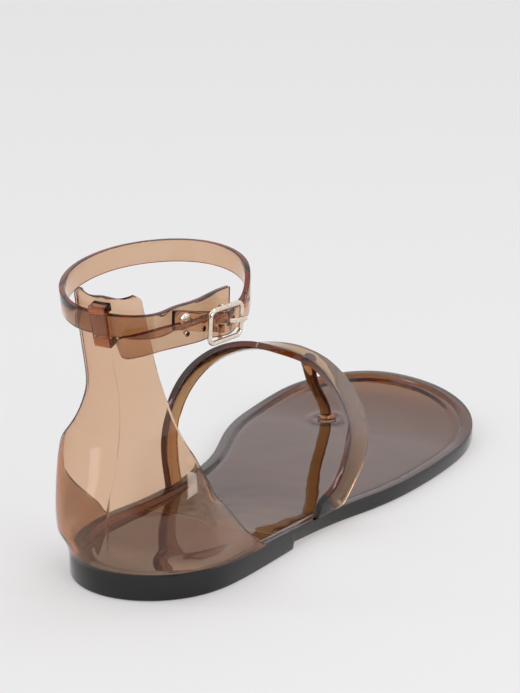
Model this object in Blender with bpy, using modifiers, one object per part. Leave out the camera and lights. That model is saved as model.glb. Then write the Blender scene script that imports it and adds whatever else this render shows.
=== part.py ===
"""Jelly sandal, right shoe: a moulded clear-brown PVC toe-post sandal with a
tall heel counter and a buckled ankle strap.

Metres, +Z up, heel at -Y, toe at +Y, outer side of the foot at +X. The origin
is under the middle of the shoe, on the ground.
"""

import math

import bmesh
import bpy
import numpy as np
from mathutils import Matrix, Vector

# Clearance between pieces that meet
GAP = 0.0003

# Sole
SOLE_LENGTH = 0.258
BALL_WIDTH = 0.101
HEEL_THICKNESS = 0.0105
BREAST_AT = 0.285
BREAST_RUN = 0.0012
SHANK_LIFT = 0.0026
TREAD_START = 0.50
TREAD_END = 0.76
TOE_SPRING = 0.0072
UNDER_EDGE = 0.0010
RIM_WIDTH = 0.0052
RIM_ROUND = 0.0009
FOOTBED_DEPTH = 0.0011
SOLE_STATIONS = 44
FOOTBED_STRIPS = 4

# Heel counter
COUNTER_HEIGHT = 0.1155
HEEL_WIDTH = 0.068
COUNTER_WALL = 0.0020
COUNTER_OVERHANG = 0.0006
BASE_BLEND = 0.016
TAB_CORNER = 0.0035
TAB_DIP = 0.0020

# Keeper loop on the back of the counter's tab
KEEPER_AT = COUNTER_HEIGHT - 0.0110
KEEPER_WIDTH = 0.0068
KEEPER_HEIGHT = 0.0164
KEEPER_PLATE = 0.0016
KEEPER_PLAY = 0.0006

# Ankle strap
STRAP_WIDTH = 0.0088
STRAP_THICK = 0.0020
TIP_ROUND = 0.0026
RING_WIDTH = 0.0664
RING_LENGTH = 0.0776
RING_OFFSET = -0.0010
RING_PITCH = 0.105
RING_ROLL = -0.030
HOLE_DIAMETER = 0.0021
HOLE_PITCH = 0.0078
HOLE_COUNT = 6

# Buckle, fold and rivet
BUCKLE_TURN = 80.0
BUCKLE_DROP = 0.0060
BUCKLE_TILT = 6.5
FRAME_LENGTH = 0.0200
FRAME_HEIGHT = 0.0140
FRAME_ROD = 0.0018
FRAME_CORNER = 0.0034
BAR_ROD = 0.0013
BAR_OUT = -0.0022
FRAME_OUT = 0.0009
PRONG_WIDTH = 0.0016
PRONG_THICK = 0.0007
FOLD_THICK = 0.0009
FOLD_PLAY = 0.00025
FOLD_TAB = 0.0013
FOLD_WIDTH = 0.0072
FOLD_LENGTH = 0.0215
FOLD_SLANT = 0.20
RIVET_DIAMETER = 0.0056
RIVET_HEIGHT = 0.0009

# Toe strap and post
TOE_STRAP_WIDTH = 0.0100
TOE_STRAP_THICK = 0.0028
INSTEP_HEIGHT = 0.047
STRAP_FOOT_FLARE = 1.55
POST_AT = 0.798
POST_SIDE = -0.157
POST_WIDTH = 0.0050
POST_THICK = 0.0040
POST_FOOT = 0.0080

# The sole from heel to toe: along is a share of SOLE_LENGTH, medial and
# lateral are shares of BALL_WIDTH, thick is a share of HEEL_THICKNESS
SOLE_TABLE = [
    # along, medial, lateral, thick
    (0.000, 0.000, 0.000, 1.00),
    (0.030, 0.197, 0.205, 1.00),
    (0.090, 0.303, 0.310, 0.98),
    (0.180, 0.340, 0.350, 0.89),
    (0.290, 0.318, 0.368, 0.76),
    (0.420, 0.312, 0.402, 0.64),
    (0.530, 0.345, 0.468, 0.60),
    (0.640, 0.440, 0.503, 0.59),
    (0.730, 0.492, 0.508, 0.58),
    (0.820, 0.500, 0.484, 0.56),
    (0.900, 0.462, 0.400, 0.54),
    (0.960, 0.352, 0.245, 0.52),
    (1.000, 0.100, -0.100, 0.50),
]

# Level sections of the counter's outer face: height is a share of
# COUNTER_HEIGHT, the others are shares of HEEL_WIDTH. back is how far the
# back line stands forward, wide the half width, round the depth at which it
# is reached, edge the depth of the front edge, and tuck how far that edge
# turns in
COUNTER_TABLE = [
    # height, back, wide, round, edge, tuck
    (0.087, -0.009, 0.500, 0.440, 0.794, 0.015),
    (0.173, -0.006, 0.503, 0.368, 0.615, 0.018),
    (0.277, 0.004, 0.492, 0.280, 0.436, 0.020),
    (0.329, 0.028, 0.478, 0.250, 0.331, 0.022),
    (0.381, 0.068, 0.456, 0.220, 0.225, 0.000),
    (0.433, 0.103, 0.434, 0.206, 0.154, 0.000),
    (0.485, 0.130, 0.432, 0.191, 0.098, 0.000),
    (0.537, 0.145, 0.368, 0.147, 0.074, 0.000),
    (0.589, 0.148, 0.324, 0.118, 0.059, 0.000),
    (0.641, 0.140, 0.284, 0.110, 0.058, 0.000),
    (0.727, 0.104, 0.258, 0.103, 0.052, 0.000),
    (0.866, 0.040, 0.245, 0.103, 0.050, 0.000),
    (1.000, -0.020, 0.238, 0.103, 0.048, 0.000),
]

# The ankle strap from its inner end under the buckle, round the heel, the
# inner side and the front, to the buckle again and its free end. along is a
# share of FRAME_LENGTH from the centre bar towards the toe, turn is in degrees
# from the middle of the heel towards the outer side, out is metres outward
# from the level that the code names, rise metres above the ring's plane, and
# flare degrees that the band's upper edge leans out
INNER_END_TABLE = [
    # along, out, rise, flare
    (0.45, 0.0002, 0.0064, 0.0),
    (0.10, 0.0000, 0.0061, 0.0),
    (-0.50, -0.0005, 0.0048, 0.0),
    (-0.92, -0.0028, 0.0039, 2.0),
]
RING_TABLE = [
    # turn, out, rise, flare
    (36.0, 0.0002, 0.0001, 3.0),
    (24.0, 0.0011, 0.0000, 5.0),
    (12.0, 0.0006, 0.0000, 8.0),
    (0.0, 0.0001, 0.0000, 9.0),
    (-14.0, 0.0004, 0.0000, 8.0),
    (-40.0, 0.0000, 0.0000, 4.0),
    (-80.0, 0.0000, 0.0000, 2.0),
    (-125.0, 0.0000, 0.0000, 0.0),
    (-175.0, 0.0000, 0.0000, 0.0),
    (-220.0, 0.0000, -0.0003, 0.0),
    (-244.0, 0.0000, -0.0028, 0.0),
]
BUCKLED_TABLE = [
    # along, out, rise, flare
    (0.62, -0.0006, 0.0010, 0.0),
    (0.42, -0.0001, 0.0004, 0.0),
    (0.00, 0.0000, 0.0000, 0.0),
    (-0.42, -0.0001, 0.0000, 0.0),
    (-0.60, 0.0000, 0.0000, 1.0),
    (-0.92, -0.0012, -0.0003, 2.0),
]
FREE_END_TABLE = [
    # turn, out, rise, flare
    (36.0, 0.0006, -0.0046, 4.0),
    (25.0, 0.0015, -0.0058, 7.0),
    (13.0, 0.0013, -0.0075, 9.0),
]

# The toe strap from the outer edge of the sole over the instep to the inner
# edge: side is a share of BALL_WIDTH, along of SOLE_LENGTH, rise of
# INSTEP_HEIGHT, and face is the way that the band looks, 0 outward, 90 up
# and 180 inward
TOE_STRAP_TABLE = [
    # side, along, rise, face
    (0.405, 0.405, 0.300, 8.0),
    (0.415, 0.434, 0.468, 19.0),
    (0.388, 0.476, 0.583, 36.0),
    (0.327, 0.525, 0.647, 52.0),
    (0.242, 0.576, 0.696, 61.0),
    (0.142, 0.625, 0.743, 67.0),
    (0.035, 0.666, 0.796, 70.0),
    (-0.069, 0.692, 0.847, 73.0),
    (-0.168, 0.697, 0.894, 80.0),
    (-0.253, 0.681, 0.936, 94.0),
    (-0.320, 0.646, 0.977, 112.0),
    (-0.360, 0.599, 0.996, 132.0),
    (-0.377, 0.546, 0.977, 152.0),
    (-0.377, 0.493, 0.915, 168.0),
    (-0.365, 0.444, 0.798, 177.0),
    (-0.344, 0.402, 0.560, 180.0),
]
STRAP_LANDING = 0.382


def spline(xs, ys):
    """Natural cubic spline through the points, as a function."""
    xs = np.asarray(xs, float)
    ys = np.asarray(ys, float)
    steps = np.diff(xs)
    count = len(xs)
    matrix = np.eye(count)
    right = np.zeros((count,) + ys.shape[1:])
    for i in range(1, count - 1):
        matrix[i, i - 1] = steps[i - 1]
        matrix[i, i] = 2 * (steps[i - 1] + steps[i])
        matrix[i, i + 1] = steps[i]
        right[i] = 6 * ((ys[i + 1] - ys[i]) / steps[i] - (ys[i] - ys[i - 1]) / steps[i - 1])
    bends = np.linalg.solve(matrix, right)

    def value(x):
        k = int(np.clip(np.searchsorted(xs, x) - 1, 0, count - 2))
        h = steps[k]
        a = (xs[k + 1] - x) / h
        b = (x - xs[k]) / h
        cubic = (a**3 - a) * bends[k] + (b**3 - b) * bends[k + 1]
        return a * ys[k] + b * ys[k + 1] + cubic * h * h / 6

    return value


def material(name, color, roughness, metallic=0.0):
    made = bpy.data.materials.new(name)
    made.use_nodes = True
    shader = made.node_tree.nodes["Principled BSDF"]
    shader.inputs["Base Color"].default_value = (*color, 1.0)
    shader.inputs["Roughness"].default_value = roughness
    shader.inputs["Metallic"].default_value = metallic
    return made


def collection(name):
    made = bpy.data.collections.new(name)
    bpy.context.scene.collection.children.link(made)
    return made


def add_object(name, mesh, home, finish=None):
    made = bpy.data.objects.new(name, mesh)
    home.objects.link(made)
    if finish:
        mesh.materials.append(finish)
        mesh.shade_smooth()
        mesh.set_sharp_from_angle(angle=math.radians(35))
    return made


def face_outward(shape):
    """Turns the faces of a closed shape outward."""
    bmesh.ops.recalc_face_normals(shape, faces=shape.faces)
    if shape.calc_volume(signed=True) < 0:
        bmesh.ops.reverse_faces(shape, faces=shape.faces)


def mesh_from(name, points, faces):
    mesh = bpy.data.meshes.new(name)
    mesh.from_pydata([tuple(p) for p in points], [], faces)
    shape = bmesh.new()
    shape.from_mesh(mesh)
    bmesh.ops.remove_doubles(shape, verts=shape.verts, dist=1e-6)
    face_outward(shape)
    shape.to_mesh(mesh)
    shape.free()
    return mesh


def loft(name, rings):
    """A closed solid through rings of equal length, capped at both ends."""
    size = len(rings[0])
    points = [p for ring in rings for p in ring]
    faces = []
    for r in range(len(rings) - 1):
        for k in range(size):
            n = (k + 1) % size
            faces.append((r * size + k, r * size + n, (r + 1) * size + n, (r + 1) * size + k))
    faces.append(tuple(range(size)))
    faces.append(tuple(range((len(rings) - 1) * size, len(rings) * size)))
    return mesh_from(name, points, faces)


def band_section(centre, across, outward, width, thick):
    """Eight points of a flat band with eased corners."""
    ease = min(width, thick) * 0.22
    w = width / 2
    t = thick / 2
    corners = [
        (w - ease, t), (w, t - ease), (w, -t + ease), (w - ease, -t),
        (-w + ease, -t), (-w, -t + ease), (-w, t - ease), (-w + ease, t),
    ]
    return [centre + across * a + outward * b for a, b in corners]


def cut(target, cutter, operation="DIFFERENCE"):
    """Adds a Boolean with a cutter that isn't part of the model."""
    cutter.hide_render = True
    cutter.display_type = "WIRE"
    modifier = target.modifiers.new(cutter.name, "BOOLEAN")
    modifier.operation = operation
    modifier.object = cutter
    modifier.solver = "EXACT"
    return modifier


# Sole

def sole_outline():
    """Half widths of the sole at a share of its length."""
    turns = [math.acos(1 - 2 * row[0]) for row in SOLE_TABLE]
    inner = spline(turns, [row[1] * BALL_WIDTH for row in SOLE_TABLE])
    outer = spline(turns, [row[2] * BALL_WIDTH for row in SOLE_TABLE])

    def widths(along):
        turn = math.acos(1 - 2 * min(max(along, 0.0), 1.0))
        return float(inner(turn)), float(outer(turn))

    return widths


def sole_thickness():
    return spline([row[0] for row in SOLE_TABLE], [row[3] * HEEL_THICKNESS for row in SOLE_TABLE])


WIDTHS = sole_outline()
THICKNESS = sole_thickness()


def toe_rise(along):
    if along <= TREAD_END:
        return 0.0
    return TOE_SPRING * ((along - TREAD_END) / (1 - TREAD_END)) ** 1.7


def top_height(along):
    return float(THICKNESS(along)) + toe_rise(along)


def under_height(along):
    breast_end = BREAST_AT + BREAST_RUN / SOLE_LENGTH
    if along < breast_end - 1e-6:
        return 0.0
    if along < TREAD_START:
        return SHANK_LIFT * ((TREAD_START - along) / (TREAD_START - breast_end)) ** 1.5
    return toe_rise(along)


def edge_x(side, along):
    """X of the sole's outer edge: side is 1 for the outer side, -1 for the inner."""
    inner, outer = WIDTHS(along)
    return outer if side > 0 else -inner


def sole_ring(stations, inset):
    """The outline moved inward, from the heel up the outer side to the toe and back."""
    right = [(edge_x(1, s), s * SOLE_LENGTH, s) for s in stations]
    left = [(edge_x(-1, s), s * SOLE_LENGTH, s) for s in stations[-2:0:-1]]
    ring = np.array(right + left)
    ahead = np.roll(ring[:, :2], -1, axis=0)
    behind = np.roll(ring[:, :2], 1, axis=0)
    run = ahead - behind
    run /= np.linalg.norm(run, axis=1)[:, None]
    inward = np.stack([-run[:, 1], run[:, 0]], axis=1)
    ring[:, :2] += inward * inset
    return ring


def build_sole(home, finish):
    even = [0.5 - 0.5 * math.cos(math.pi * i / SOLE_STATIONS) for i in range(SOLE_STATIONS + 1)]
    breast = [BREAST_AT, BREAST_AT + BREAST_RUN / SOLE_LENGTH]
    stations = [s for s in even if abs(s - BREAST_AT) > 0.012] + breast
    stations = sorted(stations)
    layers = [
        (UNDER_EDGE, lambda s: under_height(s)),
        (0.0, lambda s: under_height(s) + UNDER_EDGE),
        (0.0, lambda s: top_height(s) - RIM_ROUND),
        (RIM_ROUND, lambda s: top_height(s)),
        (RIM_WIDTH - RIM_ROUND, lambda s: top_height(s)),
        (RIM_WIDTH, lambda s: top_height(s) - FOOTBED_DEPTH),
    ]
    points = []
    faces = []
    size = 2 * (len(stations) - 1)
    for inset, height in layers:
        for x, y, s in sole_ring(stations, inset):
            points.append((x, y, height(s)))
    for layer in range(len(layers) - 1):
        for k in range(size):
            n = (k + 1) % size
            a = layer * size
            b = a + size
            faces.append((a + k, a + n, b + n, b + k))
    last = len(stations) - 1
    for base in (0, (len(layers) - 1) * size):
        rows = [[base]]
        for i in range(1, last):
            outer = points[base + i]
            inner = points[base + size - i]
            row = [base + i]
            for k in range(1, FOOTBED_STRIPS):
                share = k / FOOTBED_STRIPS
                row.append(len(points))
                points.append(tuple(o + (n - o) * share for o, n in zip(outer, inner)))
            row.append(base + size - i)
            rows.append(row)
        rows.append([base + last])
        for low, high in zip(rows[:-1], rows[1:]):
            for k in range(FOOTBED_STRIPS):
                if len(low) == 1:
                    faces.append((low[0], high[k + 1], high[k]))
                elif len(high) == 1:
                    faces.append((low[k], low[k + 1], high[0]))
                else:
                    faces.append((low[k], low[k + 1], high[k + 1], high[k]))
    return add_object("sole", mesh_from("sole", points, faces), home, finish)


# Heel counter

def counter_columns():
    heights = [row[0] * COUNTER_HEIGHT for row in COUNTER_TABLE]
    sizes = [[share * HEEL_WIDTH for share in row[1:]] for row in COUNTER_TABLE]
    return heights, spline(heights, sizes)


COUNTER_HEIGHTS, COUNTER_SIZES = counter_columns()


def counter_back(height):
    """Y of the counter's outer face on its middle line."""
    return float(COUNTER_SIZES(height)[0])


def counter_point(height, share):
    """A point of the outer face: share runs from -1, the inner edge, to 1, the outer."""
    back, wide, round_depth, edge, tuck = (float(v) for v in COUNTER_SIZES(height))
    base = COUNTER_HEIGHTS[0]
    blend = min(max((height - base) / BASE_BLEND, 0.0), 1.0)
    blend = blend * blend * (3 - 2 * blend)
    corner = max(height - (COUNTER_HEIGHT - TAB_CORNER), 0.0)
    inset = TAB_CORNER - math.sqrt(max(TAB_CORNER**2 - corner**2, 0.0))
    arc = math.acos(1 - min(edge / round_depth, 1.0)) * round_depth
    reach = abs(share) * (arc + max(edge - round_depth, 0.0))
    full_arc = math.pi / 2 * round_depth
    if reach <= full_arc:
        angle = reach / round_depth
        depth = round_depth * (1 - math.cos(angle))
        half = wide * math.sin(angle)
    else:
        depth = round_depth + reach - full_arc
        half = wide - tuck * ((depth - round_depth) / (edge - round_depth)) ** 2
    half *= 1 - inset / (wide * math.sin(min(arc / round_depth, math.pi / 2)))
    side = 1 if share > 0 else -1
    grow = 1 + COUNTER_OVERHANG / (HEEL_WIDTH / 2)
    on_sole = abs(edge_x(side, depth / grow / SOLE_LENGTH)) * grow
    half = on_sole + (half - on_sole) * blend
    seat = top_height((back + depth) / SOLE_LENGTH) + 1.7 * GAP
    lift = (seat - base) * (1 - blend)
    dip = -TAB_DIP * (1 - share * share) * max(height / COUNTER_HEIGHT - 0.8, 0.0) / 0.2
    return Vector((side * half, back + depth, height + lift + dip))


def build_counter(home, helpers, finish):
    base = COUNTER_HEIGHTS[0]
    body = np.linspace(base, COUNTER_HEIGHT - TAB_CORNER, 26)
    corner = [COUNTER_HEIGHT - TAB_CORNER * (1 - math.sin(a)) for a in (0.5, 1.0, 1.35)]
    heights = list(body) + corner
    columns = 32
    points = []
    faces = []
    for height in heights:
        for k in range(columns + 1):
            points.append(counter_point(height, 2 * k / columns - 1))
    for r in range(len(heights) - 1):
        for k in range(columns):
            a = r * (columns + 1) + k
            b = a + columns + 1
            faces.append((a, a + 1, b + 1, b))
    mesh = mesh_from("heel_counter", points, faces)
    counter = add_object("heel_counter", mesh, home, finish)
    middle = mesh.polygons[len(mesh.polygons) // 3]
    outward = middle.normal.y < 0
    shell = counter.modifiers.new("wall", "SOLIDIFY")
    shell.thickness = COUNTER_WALL
    shell.offset = -1.0 if outward else 1.0
    shell.use_even_offset = True
    cut(counter, build_keeper(helpers), "UNION")
    return counter


def keeper_frame():
    """Place of the keeper: its middle on the tab, X across, Y out, Z up the tab."""
    low = Vector((0, counter_back(KEEPER_AT - 0.004), KEEPER_AT - 0.004))
    high = Vector((0, counter_back(KEEPER_AT + 0.004), KEEPER_AT + 0.004))
    up = (high - low).normalized()
    across = Vector((1, 0, 0))
    out = up.cross(across) * -1
    origin = (low + high) / 2
    return origin, across, out, up


def box_between(name, low, high, frame, home):
    """A block given by two corners in a frame of origin, across, out and up."""
    origin, across, out, up = frame
    shape = bmesh.new()
    size = [h - l for l, h in zip(low, high)]
    middle = [(h + l) / 2 for l, h in zip(low, high)]
    bmesh.ops.create_cube(shape, size=1.0)
    turn = Matrix((across, out, up)).transposed()
    for vert in shape.verts:
        local = Vector([vert.co[i] * size[i] + middle[i] for i in range(3)])
        vert.co = origin + turn @ local
    face_outward(shape)
    mesh = bpy.data.meshes.new(name)
    shape.to_mesh(mesh)
    shape.free()
    return add_object(name, mesh, home)


def build_keeper(helpers):
    """A block on the tab's back with a slot for the strap, to be joined to it."""
    frame = keeper_frame()
    half = KEEPER_WIDTH / 2
    tall = KEEPER_HEIGHT / 2
    opening = STRAP_THICK + 2 * KEEPER_PLAY
    low = (-half, -COUNTER_WALL / 2, -tall)
    high = (half, opening + KEEPER_PLATE, tall)
    keeper = box_between("keeper", low, high, frame, helpers)
    edges = keeper.modifiers.new("edges", "BEVEL")
    edges.width = KEEPER_PLATE * 0.4
    edges.segments = 1
    slot_half = STRAP_WIDTH / 2 + KEEPER_PLAY
    slot_low = (-2 * half, 0.0, -slot_half)
    slot_high = (2 * half, opening, slot_half)
    slot = box_between("keeper_slot", slot_low, slot_high, frame, helpers)
    cut(keeper, slot)
    keeper.hide_render = True
    keeper.display_type = "WIRE"
    return keeper


# Ankle strap

def ring_centre():
    """Middle of the ankle ring, with its back held in the keeper."""
    origin, across, out, up = keeper_frame()
    back = origin + out * (KEEPER_PLAY + STRAP_THICK / 2)
    reach = (RING_LENGTH - STRAP_THICK) / 2
    return Vector((RING_OFFSET, back.y + reach, back.z + RING_PITCH * reach))


RING_CENTRE = ring_centre()


def ring_height(x, y):
    return RING_CENTRE.z + RING_PITCH * (y - RING_CENTRE.y) + RING_ROLL * (x - RING_CENTRE.x)


def ring_up():
    return Vector((-RING_ROLL, -RING_PITCH, 1)).normalized()


def ring_point(turn, out, rise):
    """A point by its turn from the heel, with the outward direction there."""
    half_x = (RING_WIDTH - STRAP_THICK) / 2
    half_y = (RING_LENGTH - STRAP_THICK) / 2
    angle = math.radians(turn)
    outward = Vector((math.sin(angle) * half_y, -math.cos(angle) * half_x, 0)).normalized()
    x = RING_CENTRE.x + half_x * math.sin(angle) + outward.x * out
    y = RING_CENTRE.y - half_y * math.cos(angle) + outward.y * out
    return Vector((x, y, ring_height(x, y))) + ring_up() * rise


def buckle_frame_axes():
    """Origin on the ring at the buckle, with along, outward and up directions."""
    here = ring_point(BUCKLE_TURN, 0, -BUCKLE_DROP)
    ahead = ring_point(BUCKLE_TURN + 2, 0, 0)
    behind = ring_point(BUCKLE_TURN - 2, 0, 0)
    level = (ahead - behind).normalized()
    outward = level.cross(ring_up()).normalized()
    along = (level - ring_up() * math.tan(math.radians(BUCKLE_TILT))).normalized()
    along = (along - outward * along.dot(outward)).normalized()
    return here, along, outward, outward.cross(along)


def buckle_point(along, out, rise):
    origin, run, outward, up = buckle_frame_axes()
    return origin + run * along + outward * out + up * rise


def buckle_levels():
    """Middle of the band under the fold, over the fold, and under the frame."""
    fold = BAR_ROD / 2 + FOLD_PLAY + FOLD_THICK
    clear = GAP + STRAP_THICK / 2
    return BAR_OUT - fold - clear, BAR_OUT + fold + clear, FRAME_OUT - FRAME_ROD / 2 - clear


def strap_path():
    """Points, leans and lengths along the ankle strap."""
    inner, over_bar, under_frame = buckle_levels()
    rows = []
    for along, out, rise, flare in INNER_END_TABLE:
        rows.append((buckle_point(along * FRAME_LENGTH, inner + out, rise), flare))
    for turn, out, rise, flare in RING_TABLE:
        rows.append((ring_point(turn, out, rise), flare))
    for along, out, rise, flare in BUCKLED_TABLE:
        level = over_bar if along == 0 else under_frame
        rows.append((buckle_point(along * FRAME_LENGTH, level + out, rise), flare))
    for turn, out, rise, flare in FREE_END_TABLE:
        rows.append((ring_point(turn, STRAP_THICK + out, rise), flare))
    lengths = [0.0]
    for a, b in zip(rows[:-1], rows[1:]):
        lengths.append(lengths[-1] + (b[0] - a[0]).length)
    values = [[*point, flare] for point, flare in rows]
    return spline(lengths, values), lengths


STRAP_PATH, STRAP_LENGTHS = strap_path()
STRAP_END = STRAP_LENGTHS[-1]


def strap_place(length):
    """Centre, across and outward directions of the band at a length along it."""
    centre = Vector(STRAP_PATH(length)[:3])
    step = 0.0004
    run = Vector(STRAP_PATH(length + step)[:3]) - Vector(STRAP_PATH(length - step)[:3])
    run.normalize()
    up = ring_up()
    up = (up - run * up.dot(run)).normalized()
    outward = run.cross(up)
    away = centre - RING_CENTRE
    if outward.dot(away) < 0:
        outward = -outward
    lean = math.radians(float(STRAP_PATH(length)[3]))
    across = up * math.cos(lean) + outward * math.sin(lean)
    outward = outward * math.cos(lean) - up * math.sin(lean)
    return centre, across, outward, run


def build_ankle_strap(home, helpers, finish):
    count = 92
    lengths = [STRAP_END * i / count for i in range(count + 1)]
    for share in (0.15, 0.4, 0.75):
        lengths.append(STRAP_END - TIP_ROUND * share)
    lengths.append(0.0006)
    lengths = sorted(l for l in lengths if l < STRAP_END - 0.0002)
    lengths.append(STRAP_END - 0.0001)
    rings = []
    for length in lengths:
        centre, across, outward, run = strap_place(length)
        left = STRAP_END - length
        width = STRAP_WIDTH
        if left < TIP_ROUND:
            width -= 2 * (TIP_ROUND - math.sqrt(TIP_ROUND**2 - (TIP_ROUND - left) ** 2))
        if length < 0.0005:
            width = STRAP_WIDTH - 0.0012
        rings.append(band_section(centre, across, outward, width, STRAP_THICK))
    strap = add_object("ankle_strap", loft("ankle_strap", rings), home, finish)
    near_bar = min(np.linspace(STRAP_END * 0.6, STRAP_END, 400), key=bar_distance)
    for k in range(HOLE_COUNT):
        length = near_bar + (k - HOLE_COUNT // 2) * HOLE_PITCH + HOLE_PITCH * 0.42
        if length > STRAP_END - STRAP_WIDTH * 0.7:
            continue
        centre, across, outward, run = strap_place(length)
        frame = (centre, run, outward, across)
        size = HOLE_DIAMETER
        shape = round_pin("strap_hole_%d" % k, size, 3 * STRAP_THICK, frame, helpers)
        cut(strap, shape)
    centre, across, outward, run = strap_place(near_bar - 0.18 * FRAME_LENGTH)
    frame = (centre, run, outward, across)
    low = (-0.0024, -2 * STRAP_THICK, -PRONG_WIDTH / 2 - 1.6 * GAP)
    high = (0.0024, 2 * STRAP_THICK, PRONG_WIDTH / 2 + 1.6 * GAP)
    cut(strap, box_between("prong_slot", low, high, frame, helpers))
    return strap


def bar_distance(length):
    centre = Vector(STRAP_PATH(length)[:3])
    return (centre - buckle_point(0, 0, 0)).length


def round_pin(name, diameter, depth, frame, home, sides=12):
    """A round cutter whose axis is the frame's outward direction."""
    origin, across, out, up = frame
    shape = bmesh.new()
    bmesh.ops.create_cone(shape, cap_ends=True, segments=sides, radius1=diameter / 2,
                          radius2=diameter / 2, depth=depth)
    turn = Matrix((across, up, across.cross(up))).transposed()
    for vert in shape.verts:
        vert.co = origin + turn @ vert.co
    face_outward(shape)
    mesh = bpy.data.meshes.new(name)
    shape.to_mesh(mesh)
    shape.free()
    return add_object(name, mesh, home)


# Buckle

def rod(name, points, diameter, home, cyclic=False):
    """A round rod along points, as a closed mesh."""
    curve = bpy.data.curves.new(name, "CURVE")
    curve.dimensions = "3D"
    curve.bevel_depth = diameter / 2
    curve.bevel_resolution = 2
    curve.use_fill_caps = not cyclic
    line = curve.splines.new("POLY")
    line.points.add(len(points) - 1)
    for item, place in zip(line.points, points):
        item.co = (*place, 1)
    line.use_cyclic_u = cyclic
    drawn = bpy.data.objects.new(name + "_line", curve)
    home.objects.link(drawn)
    bpy.context.view_layer.update()
    graph = bpy.context.evaluated_depsgraph_get()
    mesh = bpy.data.meshes.new_from_object(drawn.evaluated_get(graph))
    bpy.data.objects.remove(drawn)
    shape = bmesh.new()
    shape.from_mesh(mesh)
    bmesh.ops.remove_doubles(shape, verts=shape.verts, dist=1e-6)
    face_outward(shape)
    shape.to_mesh(mesh)
    shape.free()
    mesh.name = name
    return mesh


def build_buckle_frame(home, helpers, finish):
    half_l = (FRAME_LENGTH - FRAME_ROD) / 2
    half_h = (FRAME_HEIGHT - FRAME_ROD) / 2
    corner = FRAME_CORNER - FRAME_ROD / 2
    points = []
    for sx, sz, start in ((1, 1, 0), (-1, 1, 90), (-1, -1, 180), (1, -1, 270)):
        for k in range(5):
            angle = math.radians(start + 90 * k / 4)
            along = sx * (half_l - corner) + corner * math.cos(angle)
            rise = sz * (half_h - corner) + corner * math.sin(angle)
            points.append(buckle_point(along, FRAME_OUT, rise))
    mesh = rod("buckle_frame", points, FRAME_ROD, home, cyclic=True)
    frame = add_object("buckle_frame", mesh, home, finish)
    ease = FRAME_ROD / 2
    bar = [
        (FRAME_OUT, half_h), (BAR_OUT + ease, half_h), (BAR_OUT, half_h - ease),
        (BAR_OUT, -half_h + ease), (BAR_OUT + ease, -half_h), (FRAME_OUT, -half_h),
    ]
    line = [buckle_point(0, out, rise) for out, rise in bar]
    centre_bar = add_object("centre_bar", rod("centre_bar", line, BAR_ROD, helpers), helpers)
    cut(frame, centre_bar, "UNION")
    return frame


def prism(name, outline, width, home, finish=None, slant=0.0):
    """An outline of (along, out) pairs beside the buckle, as thick as width."""
    rings = []
    for rise in (-width / 2, width / 2):
        rings.append([buckle_point(along, out, rise - slant * min(along, 0.0)) for along, out in outline])
    return add_object(name, loft(name, rings), home, finish)


def ribbon(line, thick):
    """The outline of a strip of even thickness along a bent line."""
    line = np.asarray(line, float)
    run = np.gradient(line, axis=0)
    run /= np.linalg.norm(run, axis=1)[:, None]
    side = np.stack([-run[:, 1], run[:, 0]], axis=1) * thick / 2
    return [tuple(p) for p in line + side] + [tuple(p) for p in (line - side)[::-1]]


def build_prong(home, finish):
    eye = (BAR_ROD + PRONG_THICK) / 2 + FOLD_PLAY
    line = []
    for k in range(8):
        angle = math.radians(-200 + 27 * k)
        line.append((eye * math.cos(angle), BAR_OUT + eye * math.sin(angle)))
    inner, over_bar, under_frame = buckle_levels()
    rest = FRAME_OUT + FRAME_ROD / 2 + GAP + PRONG_THICK / 2
    reach = FRAME_LENGTH / 2 + 0.0006
    line += [
        (0.150 * FRAME_LENGTH, over_bar - 0.0009),
        (0.215 * FRAME_LENGTH, over_bar + 0.0003),
        (0.290 * FRAME_LENGTH, (over_bar + rest) / 2 + 0.0004),
        (reach - 0.0022, rest),
        (reach, rest),
    ]
    return prism("buckle_prong", ribbon(line, PRONG_THICK), PRONG_WIDTH, home, finish)


def inner_surface(along):
    """How far out the band's outer face lies under the fold, in metres along."""
    origin, run, outward, up = buckle_frame_axes()
    lengths = np.linspace(0.0, STRAP_LENGTHS[len(INNER_END_TABLE)] * 1.1, 200)
    places = [Vector(STRAP_PATH(l)[:3]) - origin for l in lengths]
    k = min(range(199), key=lambda i: abs(places[i].dot(run) - along))
    slope = (places[k + 1] - places[k]).dot(outward) / (places[k + 1] - places[k]).dot(run)
    return places[k].dot(outward) + STRAP_THICK / 2 * math.hypot(1.0, slope)


def fold_underside(share):
    """A point of the folded end's underside, from the bar to its tip."""
    along = -FOLD_LENGTH * share
    return along, inner_surface(along) + 1.4 * GAP


def build_fold(home, helpers, finish):
    """The end that is folded round the centre bar and riveted down."""
    hole = BAR_ROD / 2 + FOLD_PLAY
    outer = hole + FOLD_THICK
    outline = []
    for k in range(15):
        angle = math.radians(-96 + 232 * k / 14)
        outline.append((outer * math.cos(angle), BAR_OUT + outer * math.sin(angle)))
    under = [fold_underside(share) for share in (0.16, 0.32, 0.5, 0.68, 0.84, 1.0)]
    over = [(a, o + FOLD_TAB) for a, o in under]
    outline += over + under[::-1]
    fold = prism("buckle_fold", outline, FOLD_WIDTH, home, finish, FOLD_SLANT)
    origin, run, outward, up = buckle_frame_axes()
    place = origin + outward * BAR_OUT
    bar_hole = round_pin("fold_hole", 2 * hole, 2 * FOLD_WIDTH, (place, run, up, outward), helpers, 16)
    cut(fold, bar_hole)
    frame = (place, run, outward, up)
    half = PRONG_WIDTH / 2 + GAP
    reach = 2 * outer
    cut(fold, box_between("fold_slot", (-1.2 * outer, -reach, -half), (reach, reach, half), frame, helpers))
    return fold


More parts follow.
